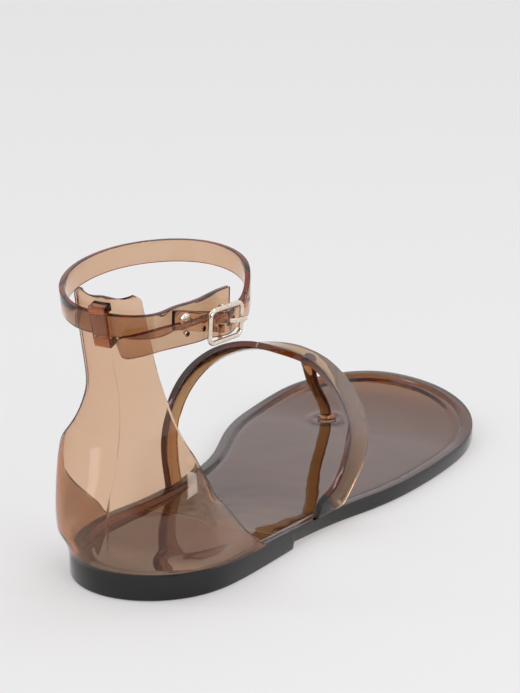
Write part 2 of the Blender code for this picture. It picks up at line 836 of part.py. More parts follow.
def build_rivet(home, finish):
    """A domed rivet head on the folded end."""
    origin, run, outward, up = buckle_frame_axes()
    along, low = fold_underside(0.78)
    further, lower = fold_underside(0.82)
    rise = -FOLD_SLANT * along
    place = buckle_point(along, low + FOLD_TAB + 1.6 * GAP, rise)
    slope = (place - buckle_point(further, lower + FOLD_TAB + 1.6 * GAP, rise)).normalized()
    axis = slope.cross(up).normalized()
    side = up.cross(axis).normalized()
    rings = []
    radius = RIVET_DIAMETER / 2
    for share, rise in ((1.0, 0.0), (1.0, 0.3), (0.86, 0.68), (0.6, 0.9), (0.25, 1.0)):
        ring = []
        for k in range(20):
            angle = 2 * math.pi * k / 20
            spoke = side * math.cos(angle) + up * math.sin(angle)
            ring.append(place + spoke * radius * share + axis * RIVET_HEIGHT * rise)
        rings.append(ring)
    return add_object("rivet", loft("rivet", rings), home, finish)


# Toe strap

def toe_strap_path():
    rows = []
    for side in (1, -1):
        x = edge_x(side, STRAP_LANDING) - side * TOE_STRAP_THICK / 2
        z = top_height(STRAP_LANDING) + GAP
        face = 0.0 if side > 0 else 180.0
        rows.append([x, STRAP_LANDING * SOLE_LENGTH, z, face])
    middle = [
        [side * BALL_WIDTH, along * SOLE_LENGTH, rise * INSTEP_HEIGHT, face]
        for side, along, rise, face in TOE_STRAP_TABLE
    ]
    values = np.array([rows[0]] + middle + [rows[1]])
    steps = np.linalg.norm(np.diff(values[:, :3], axis=0), axis=1)
    lengths = np.concatenate([[0.0], np.cumsum(steps)])
    return spline(lengths, values), float(lengths[-1])


TOE_PATH, TOE_LENGTH = toe_strap_path()


def toe_place(length):
    value = TOE_PATH(length)
    centre = Vector(value[:3])
    step = 0.0004
    low = max(length - step, 0.0)
    high = min(length + step, TOE_LENGTH)
    run = (Vector(TOE_PATH(high)[:3]) - Vector(TOE_PATH(low)[:3])).normalized()
    angle = math.radians(float(value[3]))
    outward = Vector((math.cos(angle), 0.0, math.sin(angle)))
    outward = (outward - run * outward.dot(run)).normalized()
    across = run.cross(outward)
    return centre, across, outward, run


def build_toe_strap(home, helpers, finish):
    count = 52
    rings = []
    for i in range(count + 1):
        length = TOE_LENGTH * i / count
        centre, across, outward, run = toe_place(length)
        near = min(length, TOE_LENGTH - length)
        width = TOE_STRAP_WIDTH
        if length < TOE_LENGTH / 2:
            width *= 1 + (STRAP_FOOT_FLARE - 1) * max(1 - near / 0.012, 0.0) ** 1.5
        if i in (0, count):
            side = 1 if i == 0 else -1
            across = Vector((0, 1, 0)) * (1 if across.y > 0 else -1)
            outward = Vector((side, 0, 0))
        ring = band_section(centre, across, outward, width, TOE_STRAP_THICK)
        for point in ring:
            floor = top_height(point.y / SOLE_LENGTH) + 1.5 * GAP + near / 4
            if i in (0, count) or point.z < floor:
                point.z = floor
        rings.append(ring)
    strap = add_object("toe_strap", loft("toe_strap", rings), home, finish)
    cut(strap, build_post(helpers), "UNION")
    return strap


def build_post(helpers):
    """The post from under the strap down to the footbed, with its round foot."""
    foot = Vector((POST_SIDE * BALL_WIDTH, POST_AT * SOLE_LENGTH, 0))
    front = POST_AT + POST_FOOT / 2 / SOLE_LENGTH
    floor = top_height(front) - FOOTBED_DEPTH + 1.2 * GAP
    top = min(np.linspace(0, TOE_LENGTH, 400), key=lambda l: abs(TOE_PATH(l)[0] - (foot.x + 0.004)))
    centre, across, outward, run = toe_place(float(top))
    head = centre - outward * 0.0002
    line = spline([0.0, 0.35, 0.8, 1.0], [
        [*head],
        [*(head + (foot - head) * 0.42 + Vector((0, -0.003, 0.004)))],
        [foot.x, foot.y - 0.0025, floor + 0.006],
        [foot.x, foot.y, floor],
    ])
    rings = []
    for i in range(13):
        share = i / 12
        place = Vector(line(share))
        swell = 1 + 0.5 * max(1 - share / 0.4, 0.0) ** 1.5
        wide = POST_WIDTH / 2 * swell
        deep = POST_THICK / 2
        down = (Vector(line(min(share + 0.02, 1))) - Vector(line(max(share - 0.02, 0)))).normalized()
        if i == 12:
            down = Vector((0, 0, -1))
        side = Vector((1, 0, 0))
        side = (side - down * side.dot(down)).normalized()
        front = down.cross(side)
        rings.append([
            place + side * wide * math.cos(a) + front * deep * math.sin(a)
            for a in (2 * math.pi * k / 16 for k in range(16))
        ])
    post = add_object("post", loft("post", rings), helpers)
    base = []
    for radius, rise in ((1.0, 0.0), (1.0, 0.0006), (0.7, 0.0012)):
        ring = []
        for k in range(20):
            a = 2 * math.pi * k / 20
            reach = POST_FOOT / 2 * radius
            ring.append(Vector((foot.x + reach * math.cos(a), foot.y + reach * math.sin(a), floor + rise)))
        base.append(ring)
    flange = add_object("post_foot", loft("post_foot", base), helpers)
    cut(post, flange, "UNION")
    post.hide_render = True
    post.display_type = "WIRE"
    return post


def centre_on_ground(home, helpers):
    """Moves everything so that the origin is under the middle of the model."""
    bpy.context.view_layer.update()
    graph = bpy.context.evaluated_depsgraph_get()
    low = np.full(3, np.inf)
    high = np.full(3, -np.inf)
    for item in home.objects:
        mesh = item.evaluated_get(graph).to_mesh()
        places = np.array([v.co[:] for v in mesh.vertices])
        low = np.minimum(low, places.min(axis=0))
        high = np.maximum(high, places.max(axis=0))
        item.evaluated_get(graph).to_mesh_clear()
    shift = Vector((-(low[0] + high[0]) / 2, -(low[1] + high[1]) / 2, -low[2]))
    for item in list(home.objects) + list(helpers.objects):
        item.data.transform(Matrix.Translation(shift))
    print("moved by", [round(v * 1000, 3) for v in shift], "mm")


def main():
    for item in list(bpy.data.objects):
        bpy.data.objects.remove(item, do_unlink=True)
    home = collection("jelly_sandal")
    helpers = collection("cutters")
    smoke = material("smoke_pvc", (0.075, 0.048, 0.036), 0.12)
    amber = material("clear_brown_pvc", (0.40, 0.22, 0.11), 0.10)
    gold = material("pale_gold", (0.86, 0.74, 0.58), 0.18, 1.0)
    build_sole(home, smoke)
    build_counter(home, helpers, amber)
    build_toe_strap(home, helpers, smoke)
    build_ankle_strap(home, helpers, amber)
    build_buckle_frame(home, helpers, gold)
    build_prong(home, gold)
    build_fold(home, helpers, amber)
    build_rivet(home, gold)
    centre_on_ground(home, helpers)


main()
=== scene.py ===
import math

import bmesh
import bpy
import numpy as np
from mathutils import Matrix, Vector


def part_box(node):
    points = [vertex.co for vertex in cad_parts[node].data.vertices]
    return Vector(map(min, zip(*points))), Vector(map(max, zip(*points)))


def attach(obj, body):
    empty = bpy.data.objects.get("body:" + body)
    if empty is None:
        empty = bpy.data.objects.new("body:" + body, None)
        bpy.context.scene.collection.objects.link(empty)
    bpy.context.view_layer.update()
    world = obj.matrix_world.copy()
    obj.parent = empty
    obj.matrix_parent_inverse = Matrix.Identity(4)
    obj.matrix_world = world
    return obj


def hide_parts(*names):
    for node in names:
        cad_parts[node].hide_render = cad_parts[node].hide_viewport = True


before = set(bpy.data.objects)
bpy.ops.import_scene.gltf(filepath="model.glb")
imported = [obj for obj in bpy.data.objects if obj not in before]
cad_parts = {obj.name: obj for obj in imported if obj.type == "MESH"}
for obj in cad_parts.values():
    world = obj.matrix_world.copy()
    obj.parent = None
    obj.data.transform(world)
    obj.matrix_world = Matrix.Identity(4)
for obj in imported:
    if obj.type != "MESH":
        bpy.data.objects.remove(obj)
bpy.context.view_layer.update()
print("frame loaded:", ", ".join(sorted(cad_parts)))

# Camera, light and floor

studio = {
    "aim": (0.00818, -0.02652, 0.0698),  # point that the camera looks at
    "distance": 1.00317,
    "azimuth": 28.346,  # degrees from straight behind the heel, towards the outer side
    "elevation": 17.101,
    "lens": 134.934,
    "sensor": 36.0,
    "wallColor": (0.915, 0.900, 0.925),
    "ceilingColor": (1.0, 0.99, 1.0),
    "ceilingAt": 0.9,  # how high the sky reaches that colour
    "skyStrength": 1.005,
    "roomColor": (0.16, 0.155, 0.165),  # the darker room behind the camera
    "roomEdge": 0.66,
    "roomMiddle": 0.84,
    "floorColor": (0.818, 0.817, 0.819),
    "floorWhite": 0.58,  # share of the floor's colour that comes from the light above
    "floorGlow": 0.412,  # the rest: the table is lit from below, so that shadows stay faint
    "floorSize": 12.0,
    "floorDrop": 0.0002,  # keeps the floor just under the sole
}

softboxes = [
    # name, place, width, height, watts
    ("keyBox", (-1.10, -0.55, 1.35), 0.20, 1.10, 2.6),
    ("topBox", (0.25, 0.55, 1.70), 0.40, 0.60, 1.8),
    ("sideStrip", (1.30, 0.35, 0.75), 0.10, 1.00, 1.2),
    ("sideCard", (1.02, -0.62, 0.56), 0.56, 0.40, 3.7),
    ("heelCard", (-0.88, -0.92, 0.34), 0.16, 0.30, 0.22),
]


def added(name, data):
    made = bpy.data.objects.new(name, data)
    bpy.context.scene.collection.objects.link(made)
    return made


def colorRamp(nodes, start, low, end, high):
    ramp = nodes.new("ShaderNodeValToRGB")
    for stop, place, color in zip(ramp.color_ramp.elements, (start, end), (low, high)):
        stop.position = place
        stop.color = (*color, 1.0)
    return ramp


def colorProduct(nodes):
    product = nodes.new("ShaderNodeMix")
    product.data_type = "RGBA"
    product.blend_type = "MULTIPLY"
    return product


def viewBack():
    turn = math.radians(studio["azimuth"])
    rise = math.radians(studio["elevation"])
    flat = math.cos(rise)
    return Vector((math.sin(turn) * flat, -math.cos(turn) * flat, math.sin(rise)))


def buildCamera():
    data = bpy.data.cameras.new("photoCamera")
    data.lens = studio["lens"]
    data.sensor_width = studio["sensor"]
    data.clip_end = 50.0
    camera = added("photoCamera", data)
    camera.location = Vector(studio["aim"]) + viewBack() * studio["distance"]
    tilt = math.pi / 2 - math.radians(studio["elevation"])
    camera.rotation_euler = (tilt, 0.0, math.radians(studio["azimuth"]))
    bpy.context.scene.camera = camera


def buildWorld():
    world = bpy.data.worlds.new("studioWorld")
    bpy.context.scene.world = world
    world.use_nodes = True
    nodes = world.node_tree.nodes
    links = world.node_tree.links
    nodes.clear()
    way = nodes.new("ShaderNodeTexCoord")
    height = nodes.new("ShaderNodeSeparateXYZ")
    ramp = colorRamp(nodes, 0.0, studio["wallColor"], studio["ceilingAt"], studio["ceilingColor"])
    shade = nodes.new("ShaderNodeBackground")
    shade.inputs["Strength"].default_value = studio["skyStrength"]
    out = nodes.new("ShaderNodeOutputWorld")
    links.new(way.outputs["Generated"], height.inputs["Vector"])
    links.new(height.outputs["Z"], ramp.inputs["Fac"])
    aside = nodes.new("ShaderNodeVectorMath")
    aside.operation = "DOT_PRODUCT"
    aside.inputs[1].default_value = viewBack()
    room = colorRamp(nodes, studio["roomEdge"], (1.0, 1.0, 1.0), studio["roomMiddle"], studio["roomColor"])
    dim = colorProduct(nodes)
    dim.inputs["Factor"].default_value = 1.0
    links.new(way.outputs["Generated"], aside.inputs[0])
    links.new(aside.outputs["Value"], room.inputs["Fac"])
    links.new(ramp.outputs["Color"], dim.inputs["A"])
    links.new(room.outputs["Color"], dim.inputs["B"])
    links.new(dim.outputs["Result"], shade.inputs["Color"])
    links.new(shade.outputs["Background"], out.inputs["Surface"])


def buildLights():
    aim = Vector(studio["aim"])
    for name, place, width, height, watts in softboxes:
        data = bpy.data.lights.new(name, "AREA")
        data.shape = "RECTANGLE"
        data.size = width
        data.size_y = height
        data.energy = watts
        lamp = added(name, data)
        lamp.location = place
        lamp.rotation_euler = (aim - Vector(place)).to_track_quat("-Z", "Y").to_euler()


def newMaterial(name):
    made = bpy.data.materials.new(name)
    made.use_nodes = True
    nodes = made.node_tree.nodes
    return made, nodes, made.node_tree.links, nodes["Principled BSDF"]


noiseSpan = (0.3, 0.7)  # where nearly all values of a noise lie


def objectNoise(nodes, links, scale, detail=2.0, stretch=(1.0, 1.0, 1.0)):  # scale: features per metre
    coord = nodes.new("ShaderNodeTexCoord")
    place = nodes.new("ShaderNodeMapping")
    place.inputs["Scale"].default_value = stretch
    noise = nodes.new("ShaderNodeTexNoise")
    noise.inputs["Scale"].default_value = scale
    noise.inputs["Detail"].default_value = detail
    links.new(coord.outputs["Object"], place.inputs["Vector"])
    links.new(place.outputs["Vector"], noise.inputs["Vector"])
    return noise


def between(nodes, links, noise, low, high):  # a number that follows the noise
    scale = nodes.new("ShaderNodeMapRange")
    for socket, value in zip(("From Min", "From Max", "To Min", "To Max"), (*noiseSpan, low, high)):
        scale.inputs[socket].default_value = value
    links.new(noise.outputs["Fac"], scale.inputs["Value"])
    return scale.outputs["Result"]


def tinted(nodes, links, noise, low, high):  # a colour that follows the noise
    ramp = colorRamp(nodes, noiseSpan[0], low, noiseSpan[1], high)
    links.new(noise.outputs["Fac"], ramp.inputs["Fac"])
    return ramp.outputs["Color"]


def pvcMaterial(name, look):  # see-through and glossy, darker with depth, faintly uneven from the mould, with painted shade where layers overlap
    made, nodes, links, shader = newMaterial(name)
    shader.inputs["Transmission Weight"].default_value = 1.0
    shader.inputs["IOR"].default_value = look["ior"]
    cloud = objectNoise(nodes, links, look["cloudScale"])
    cloudTint = tinted(nodes, links, cloud, look["tintLow"], look["tintHigh"])
    overlapShade = nodes.new("ShaderNodeAttribute")
    overlapShade.attribute_name = "overlapShade"  # painted shade: darker where two layers lie on each other in view
    shadeDarken = colorProduct(nodes)
    shadeDarken.inputs["B"].default_value = (*look["overlapShadeTint"], 1.0)
    links.new(overlapShade.outputs["Fac"], shadeDarken.inputs["Factor"])
    links.new(cloudTint, shadeDarken.inputs["A"])
    links.new(shadeDarken.outputs["Result"], shader.inputs["Base Color"])
    smear = objectNoise(nodes, links, look["smearScale"], 4.0)
    rough = between(nodes, links, smear, look["roughLow"], look["roughHigh"])
    links.new(rough, shader.inputs["Roughness"])
    ripple = objectNoise(nodes, links, look["rippleScale"], 1.0, look["rippleStretch"])
    bump = nodes.new("ShaderNodeBump")
    bump.inputs["Strength"].default_value = look["rippleStrength"]
    bump.inputs["Distance"].default_value = look["rippleDepth"]
    links.new(ripple.outputs["Fac"], bump.inputs["Height"])
    links.new(bump.outputs["Normal"], shader.inputs["Normal"])
    depth = nodes.new("ShaderNodeVolumeAbsorption")
    depth.inputs["Color"].default_value = (*look["depthColor"], 1.0)
    depth.inputs["Density"].default_value = look["depthDensity"]
    links.new(depth.outputs["Volume"], nodes["Material Output"].inputs["Volume"])
    path = nodes.new("ShaderNodeLightPath")
    share = nodes.new("ShaderNodeMath")
    share.operation = "MULTIPLY"
    share.inputs[1].default_value = look["shadowShare"]
    through = nodes.new("ShaderNodeBsdfTransparent")
    mix = nodes.new("ShaderNodeMixShader")
    links.new(path.outputs["Is Shadow Ray"], share.inputs[0])
    links.new(share.outputs["Value"], mix.inputs["Fac"])
    links.new(shader.outputs["BSDF"], mix.inputs[1])
    links.new(through.outputs["BSDF"], mix.inputs[2])
    links.new(mix.outputs["Shader"], nodes["Material Output"].inputs["Surface"])
    return made


clearLook = {
    "ior": 1.49,
    "depthColor": (0.77, 0.43, 0.09),
    "depthDensity": 530.0,  # how fast light dies with depth, per metre
    # colour of the painted shade where two layers overlap in view
    "overlapShadeTint": (0.56, 0.475, 0.35),
    "shadowShare": 0.65,  # how much light goes straight through into the shadow
    "tintLow": (0.96, 0.95, 0.94),
    "tintHigh": (1.0, 1.0, 1.0),
    "cloudScale": 30.0,
    "roughLow": 0.008,
    "roughHigh": 0.035,
    "smearScale": 60.0,
    "rippleScale": 55.0,
    "rippleStretch": (1.0, 1.0, 0.5),
    "rippleStrength": 0.25,
    "rippleDepth": 0.0006,
}

# the counter's painted shade is greyer
counterLook = dict(clearLook, overlapShadeTint=(0.70, 0.73, 0.72))
smokeLook = dict(clearLook, ior=1.53, depthColor=(0.694, 0.46, 0.10), depthDensity=880.0)
strapLook = dict(clearLook, ior=1.51, depthColor=(0.70, 0.46, 0.12), depthDensity=640.0)


goldLook = {
    "colorLow": (0.66, 0.57, 0.46),
    "colorHigh": (0.82, 0.75, 0.65),
    "stainScale": 900.0,
    "roughLow": 0.08,
    "roughHigh": 0.20,
    "scuffScale": 2400.0,
    "scuffStretch": (1.0, 0.3, 1.0),
}


def goldMaterial(name, look):  # polished plating with fine scuffs
    made, nodes, links, shader = newMaterial(name)
    shader.inputs["Metallic"].default_value = 1.0
    stain = objectNoise(nodes, links, look["stainScale"])
    color = tinted(nodes, links, stain, look["colorLow"], look["colorHigh"])
    links.new(color, shader.inputs["Base Color"])
    scuff = objectNoise(nodes, links, look["scuffScale"], 4.0, look["scuffStretch"])
    rough = between(nodes, links, scuff, look["roughLow"], look["roughHigh"])
    links.new(rough, shader.inputs["Roughness"])
    return made


def floorMaterial(name):
    made, nodes, links, shader = newMaterial(name)
    grain = objectNoise(nodes, links, 3.0)
    high = tuple(studio["floorWhite"] * c for c in studio["floorColor"])
    low = tuple(0.995 * c for c in high)
    links.new(tinted(nodes, links, grain, low, high), shader.inputs["Base Color"])
    shader.inputs["Roughness"].default_value = 0.9
    shader.inputs["Specular IOR Level"].default_value = 0.0
    shader.inputs["Emission Color"].default_value = (*studio["floorColor"], 1.0)
    shader.inputs["Emission Strength"].default_value = studio["floorGlow"]
    return made


finishes = {
    "clear": pvcMaterial("clearBrownPvc", clearLook),
    "counter": pvcMaterial("counterPvc", counterLook),
    "smoke": pvcMaterial("smokePvc", smokeLook),
    "strap": pvcMaterial("toeStrapPvc", strapLook),
    "gold": goldMaterial("paleGold", goldLook),
    "floor": floorMaterial("paleFloor"),
}


def buildFloor():
    bpy.ops.mesh.primitive_plane_add(size=studio["floorSize"], location=(0.0, 0.0, -studio["floorDrop"]))
    floor = bpy.context.object
    floor.name = "paleFloor"
    floor.data.materials.append(finishes["floor"])


buildCamera()
buildWorld()
buildLights()
buildFloor()
bpy.context.scene.view_settings.view_transform = "Standard"
print("studio ready")

# Shapes that all pieces share


def smoothLine(xs, ys):  # a natural cubic spline through the points, as a function
    xs = np.asarray(xs, float)
    ys = np.asarray(ys, float)
    steps = np.diff(xs)
    count = len(xs)
    matrix = np.eye(count)
    right = np.zeros((count,) + ys.shape[1:])
    for i in range(1, count - 1):
        matrix[i, i - 1] = steps[i - 1]
        matrix[i, i] = 2 * (steps[i - 1] + steps[i])
        matrix[i, i + 1] = steps[i]
        right[i] = 6 * ((ys[i + 1] - ys[i]) / steps[i] - (ys[i] - ys[i - 1]) / steps[i - 1])
    bends = np.linalg.solve(matrix, right)

    def value(x):
        k = int(np.clip(np.searchsorted(xs, x) - 1, 0, count - 2))
        h = steps[k]
        a = (xs[k + 1] - x) / h
        b = (x - xs[k]) / h
        cubic = (a**3 - a) * bends[k] + (b**3 - b) * bends[k + 1]
        return a * ys[k] + b * ys[k + 1] + cubic * h * h / 6

    return value


def ease(x):
    x = min(max(x, 0.0), 1.0)
    return x * x * (3 - 2 * x)


def within(value, start, startRun, end, endRun):  # 1 inside the two limits, eased to 0 at each
    return ease((value - start) / startRun) * ease((end - value) / endRun)


def circle(count):
    turns = [2 * math.pi * k / count for k in range(count)]
    return [(math.cos(turn), math.sin(turn)) for turn in turns]


def roundedCorners(halfA, halfB, radius, steps):  # places round a rectangle with round corners
    places = []
    for sideA, sideB, start in ((1, 1, 0), (-1, 1, 90), (-1, -1, 180), (1, -1, 270)):
        for k in range(steps + 1):
            angle = math.radians(start + 90 * k / steps)
            a = sideA * (halfA - radius) + radius * math.cos(angle)
            places.append((a, sideB * (halfB - radius) + radius * math.sin(angle)))
    return places


def meshOf(name, parts):  # a closed mesh in place, from points and faces measured from the heel
    points, faces = parts
    mesh = bpy.data.meshes.new(name)
    mesh.from_pydata([tuple(Vector(p) + heelShift) for p in points], [], faces)
    shape = bmesh.new()
    shape.from_mesh(mesh)
    bmesh.ops.remove_doubles(shape, verts=shape.verts, dist=1e-7)
    bmesh.ops.recalc_face_normals(shape, faces=shape.faces)
    if shape.calc_volume(signed=True) < 0:
        bmesh.ops.reverse_faces(shape, faces=shape.faces)
    shape.to_mesh(mesh)
    shape.free()
    return mesh


def softened(parts, radius, angle=35):  # the same shape with its sharp edges rounded
    points, faces = parts
    shape = bmesh.new()
    verts = [shape.verts.new(p) for p in points]
    for face in faces:
        shape.faces.new([verts[i] for i in face])
    bmesh.ops.recalc_face_normals(shape, faces=shape.faces)
    joined = [edge for edge in shape.edges if len(edge.link_faces) == 2]
    sharp = [edge for edge in joined if edge.calc_face_angle() > math.radians(angle)]
    bmesh.ops.bevel(
        shape, geom=sharp, offset=radius, segments=3, profile=0.5, affect="EDGES", clamp_overlap=True
    )
    shape.verts.index_update()
    result = [tuple(v.co) for v in shape.verts], [tuple(v.index for v in f.verts) for f in shape.faces]
    shape.free()
    return result


def baked(target, helpers):  # the finished mesh of an object with modifiers, which goes with its helpers
    bpy.context.view_layer.update()
    graph = bpy.context.evaluated_depsgraph_get()
    mesh = bpy.data.meshes.new_from_object(target.evaluated_get(graph))
    for item in [target] + helpers:
        bpy.data.objects.remove(item)
    return mesh


def combined(name, base, others, operation):  # base joined with, or cut by, the other shapes
    target = added(name, base)
    helpers = []
    for number, parts in enumerate(others):
        helper = added("helper", meshOf("helper", parts))
        helpers.append(helper)
        step = target.modifiers.new("step%d" % number, "BOOLEAN")
        step.operation = operation
        step.object = helper
        step.solver = "EXACT"
    return baked(target, helpers)


def finishPiece(name, mesh, finish, nodes, angle=40):
    mesh.name = name
    mesh.materials.clear()
    mesh.materials.append(finish)
    mesh.shade_smooth()
    mesh.set_sharp_from_angle(angle=math.radians(angle))
    piece = added(name, mesh)
    register(piece, nodes)
    return piece


def joinedPiece(name, base, others, finish, nodes):
    mesh = combined(name, meshOf(name, base), others, "UNION")
    return finishPiece(name, mesh, finish, nodes)


def register(piece, nodes):
    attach(piece, "root")
    for node in nodes:
        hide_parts(node)


def withOverlapShade(mesh, shadeAt):  # paints shade: how much darker each point is where it lies over another layer in view
    layer = mesh.attributes.new("overlapShade", "FLOAT", "POINT")
    layer.data.foreach_set("value", [shadeAt(vert.co - heelShift) for vert in mesh.vertices])
    return mesh


def loftParts(rings, closed=False):  # a skin through rings of equal length; an open loft is capped
    size = len(rings[0])
    points = [p for ring in rings for p in ring]
    faces = []
    last = len(rings) if closed else len(rings) - 1
    for r in range(last):
        a = r * size
        b = (r + 1) % len(rings) * size
        for k in range(size):
            n = (k + 1) % size
            faces.append((a + k, a + n, b + n, b + k))
    if not closed:
        faces.append(tuple(range(size)))
        faces.append(tuple(range((len(rings) - 1) * size, len(rings) * size)))
    return points, faces


def roundedSection(centre, across, outward, width, thick, radius, steps=4):
    radius = min(radius, width / 2 * 0.98, thick / 2 * 0.98)
    places = roundedCorners(width / 2, thick / 2, radius, steps)
    return [centre + across * a + outward * b for a, b in places]


# Sole: outline, heel block, breast, rim, groove and footbed

sole = {
    "length": 0.258,
    "ballWidth": 0.101,
    "heelThickness": 0.0105,
    "breastAt": 0.285,
    "breastRun": 0.0012,
    "shankLift": 0.0026,
    "treadStart": 0.50,
    "treadEnd": 0.76,
    "toeSpring": 0.0072,
    "stations": 190,
    "strips": 72,
    "underStrips": 16,
    "bedFade": 0.003,  # width over which the footbed leaves the groove
    "endFade": 0.03,  # length over which the dish fades at the heel and the toe
    "footbedDepth": 0.0011,
    "dish": 0.0003,  # how far the middle of the footbed lies lower still
    "hollow": 0.0020,  # the same for the whole footbed from the heel to the waist
    "hollowSpan": (0.02, 0.12, 0.55, 0.36),  # as shares of the length: start, its run, end, its run
    "outline": [
        # along, medial, lateral, thick
        (0.000, 0.000, 0.000, 1.00),
        (0.030, 0.197, 0.205, 1.00),
        (0.090, 0.303, 0.310, 0.98),
        (0.180, 0.340, 0.350, 0.89),
        (0.290, 0.318, 0.368, 0.76),
        (0.420, 0.312, 0.402, 0.64),
        (0.530, 0.345, 0.468, 0.60),
        (0.640, 0.440, 0.503, 0.59),
        (0.730, 0.492, 0.508, 0.58),
        (0.820, 0.500, 0.484, 0.56),
        (0.900, 0.462, 0.400, 0.54),
        (0.960, 0.352, 0.245, 0.52),
        (1.000, 0.100, -0.100, 0.50),
    ],
    # inset from the outline and rise, in millimetres, from the underside
    "underEdge": [(1.60, 0.0), (0.95, 0.0), (0.55, 0.10), (0.22, 0.34), (0.04, 0.72)],
    # the same, from the level of the rim's top
    "rim": [
        (0.00, -1.00), (0.06, -0.58), (0.24, -0.24), (0.52, -0.06), (0.90, 0.00),
        (2.20, 0.00), (3.50, -0.02), (4.05, -0.08), (4.45, -0.26), (4.72, -0.60),
        (4.95, -0.98), (5.25, -1.22), (5.65, -1.30), (6.10, -1.24), (6.70, -1.14), (7.60, -1.10),
    ],
    "postAt": (-0.0159, 0.2059),
    "hollowInset": (4.0, 1.2),  # millimetres from the outline to where the rim starts to sink, its run
    "moundRadius": 0.0072,
    "moundRise": 0.0005,
    "moundCrest": (0.90, 0.28),  # place and width of its ring, as shares of its radius
    "moundDip": (0.8, 0.55),  # depth, as a share of its rise, and width of the dip inside
    "waveRise": (0.00006, 0.00005),  # long and short waves in the footbed
}


def soleWidths():
    rows = sole["outline"]
    turns = [math.acos(1 - 2 * row[0]) for row in rows]
    inner = smoothLine(turns, [row[1] * sole["ballWidth"] for row in rows])
    outer = smoothLine(turns, [row[2] * sole["ballWidth"] for row in rows])

    def widths(along):
        turn = math.acos(1 - 2 * min(max(along, 0.0), 1.0))
        return float(inner(turn)), float(outer(turn))

    return widths


widthsAt = soleWidths()
thicknessAt = smoothLine(
    [row[0] for row in sole["outline"]],
    [row[3] * sole["heelThickness"] for row in sole["outline"]],
)


def toeRise(along):
    past = max(along - sole["treadEnd"], 0.0) / (1 - sole["treadEnd"])
    return sole["toeSpring"] * past**1.7


def topHeight(along):
    return float(thicknessAt(along)) + toeRise(along)


def underHeight(along):
    breastEnd = sole["breastAt"] + sole["breastRun"] / sole["length"]
    if along >= sole["treadStart"]:
        return toeRise(along)
    if along >= breastEnd:
        past = (sole["treadStart"] - along) / (sole["treadStart"] - breastEnd)
        return sole["shankLift"] * past**1.5
    start = (along - sole["breastAt"]) / (breastEnd - sole["breastAt"])
    return sole["shankLift"] * ease(start)


def hollow(along):
    return sole["hollow"] * within(along, *sole["hollowSpan"])


def edgeX(side, along):
    inner, outer = widthsAt(along)
    return outer if side > 0 else -inner


def soleStations():
    even = [0.5 - 0.5 * math.cos(math.pi * i / sole["stations"]) for i in range(sole["stations"] + 1)]
    run = sole["breastRun"] / sole["length"]
    breast = [sole["breastAt"] + run * share for share in (-0.6, 0.0, 0.2, 0.4, 0.6, 0.8, 1.0, 1.6)]
    clear = [s for s in even if s < breast[0] - run or s > breast[-1] + run]
    return sorted(clear + breast)


def soleOutline(stations):
    right = [(edgeX(1, s), s * sole["length"]) for s in stations]
    left = [(edgeX(-1, s), s * sole["length"]) for s in stations[-2:0:-1]]
    ring = np.array(right + left)
    run = np.roll(ring, -1, axis=0) - np.roll(ring, 1, axis=0)
    run /= np.linalg.norm(run, axis=1)[:, None]
    inward = np.stack([-run[:, 1], run[:, 0]], axis=1)
    shares = list(stations) + list(stations[-2:0:-1])
    return ring, inward, shares


def footbedHeight(x, y):  # inside the groove: dished, faintly wavy, with a mound round the post
    along = min(max(y / sole["length"], 0.0), 1.0)
    inner, outer = widthsAt(along)
    middle = (outer - inner) / 2
    half = max((outer + inner) / 2 - sole["rim"][-1][0] / 1000, 0.002)
    across = min(abs(x - middle) / half, 1.0)
    ends = within(y, 0, sole["endFade"], sole["length"], sole["endFade"])
    dish = sole["dish"] * (1 - across**2) ** 2 * ends
    long, short = sole["waveRise"]
    waves = long * math.sin(x / 0.0085 + y / 0.021) * math.sin(y / 0.0125 + 1.3)
    waves += short * math.sin(y / 0.0062 + x / 0.030) * math.sin(x / 0.014 + 0.6)
    waves *= (1 - across**2) * ends
    reach = math.hypot(x - sole["postAt"][0], y - sole["postAt"][1]) / sole["moundRadius"]
    crest, crestWidth = sole["moundCrest"]
    dip, dipWidth = sole["moundDip"]
    mound = sole["moundRise"] * math.exp(-((reach - crest) / crestWidth) ** 2)
    mound -= dip * sole["moundRise"] * math.exp(-(reach / dipWidth) ** 2)
    return topHeight(along) - sole["footbedDepth"] - hollow(along) - dish + waves + mound


def soleParts():
    stations = soleStations()
    outline, inward, shares = soleOutline(stations)
    size = len(outline)
    layers = []
    for inset, rise in sole["underEdge"]:
        layers.append((inset, [underHeight(s) + rise / 1000 for s in shares]))
    sinkFrom, sinkRun = sole["hollowInset"]
    for inset, rise in sole["rim"]:
        sunk = ease((inset - sinkFrom) / sinkRun)
        layers.append((inset, [topHeight(s) + rise / 1000 - hollow(s) * sunk for s in shares]))
    points = []
    faces = []
    for inset, heights in layers:
        ring = outline + inward * inset / 1000
        points += [(x, y, z) for (x, y), z in zip(ring, heights)]
    for layer in range(len(layers) - 1):
        a = layer * size
        b = a + size
        for k in range(size):
            n = (k + 1) % size
            faces.append((a + k, a + n, b + n, b + k))
    last = len(stations) - 1
    for base, isTop in ((0, False), ((len(layers) - 1) * size, True)):
        strips = sole["strips"] if isTop else sole["underStrips"]
        rows = [[base]]
        for i in range(1, last):
            outer = points[base + i]
            inner = points[base + size - i]
            row = [base + i]
            for k in range(1, strips):
                share = k / strips
                x, y, z = (o + (n - o) * share for o, n in zip(outer, inner))
                if isTop:
                    rim = min(share, 1 - share) * abs(inner[0] - outer[0]) / sole["bedFade"]
                    z += (footbedHeight(x, y) - z) * ease(rim)
                row.append(len(points))
                points.append((x, y, z))
            row.append(base + size - i)
            rows.append(row)
        rows.append([base + last])
        for low, high in zip(rows[:-1], rows[1:]):
            for k in range(strips):
                if len(low) == 1:
                    faces.append((low[0], high[k + 1], high[k]))
                elif len(high) == 1:
                    faces.append((low[k], low[k + 1], high[0]))
                else:
                    faces.append((low[k], low[k + 1], high[k + 1], high[k]))
    return points, faces


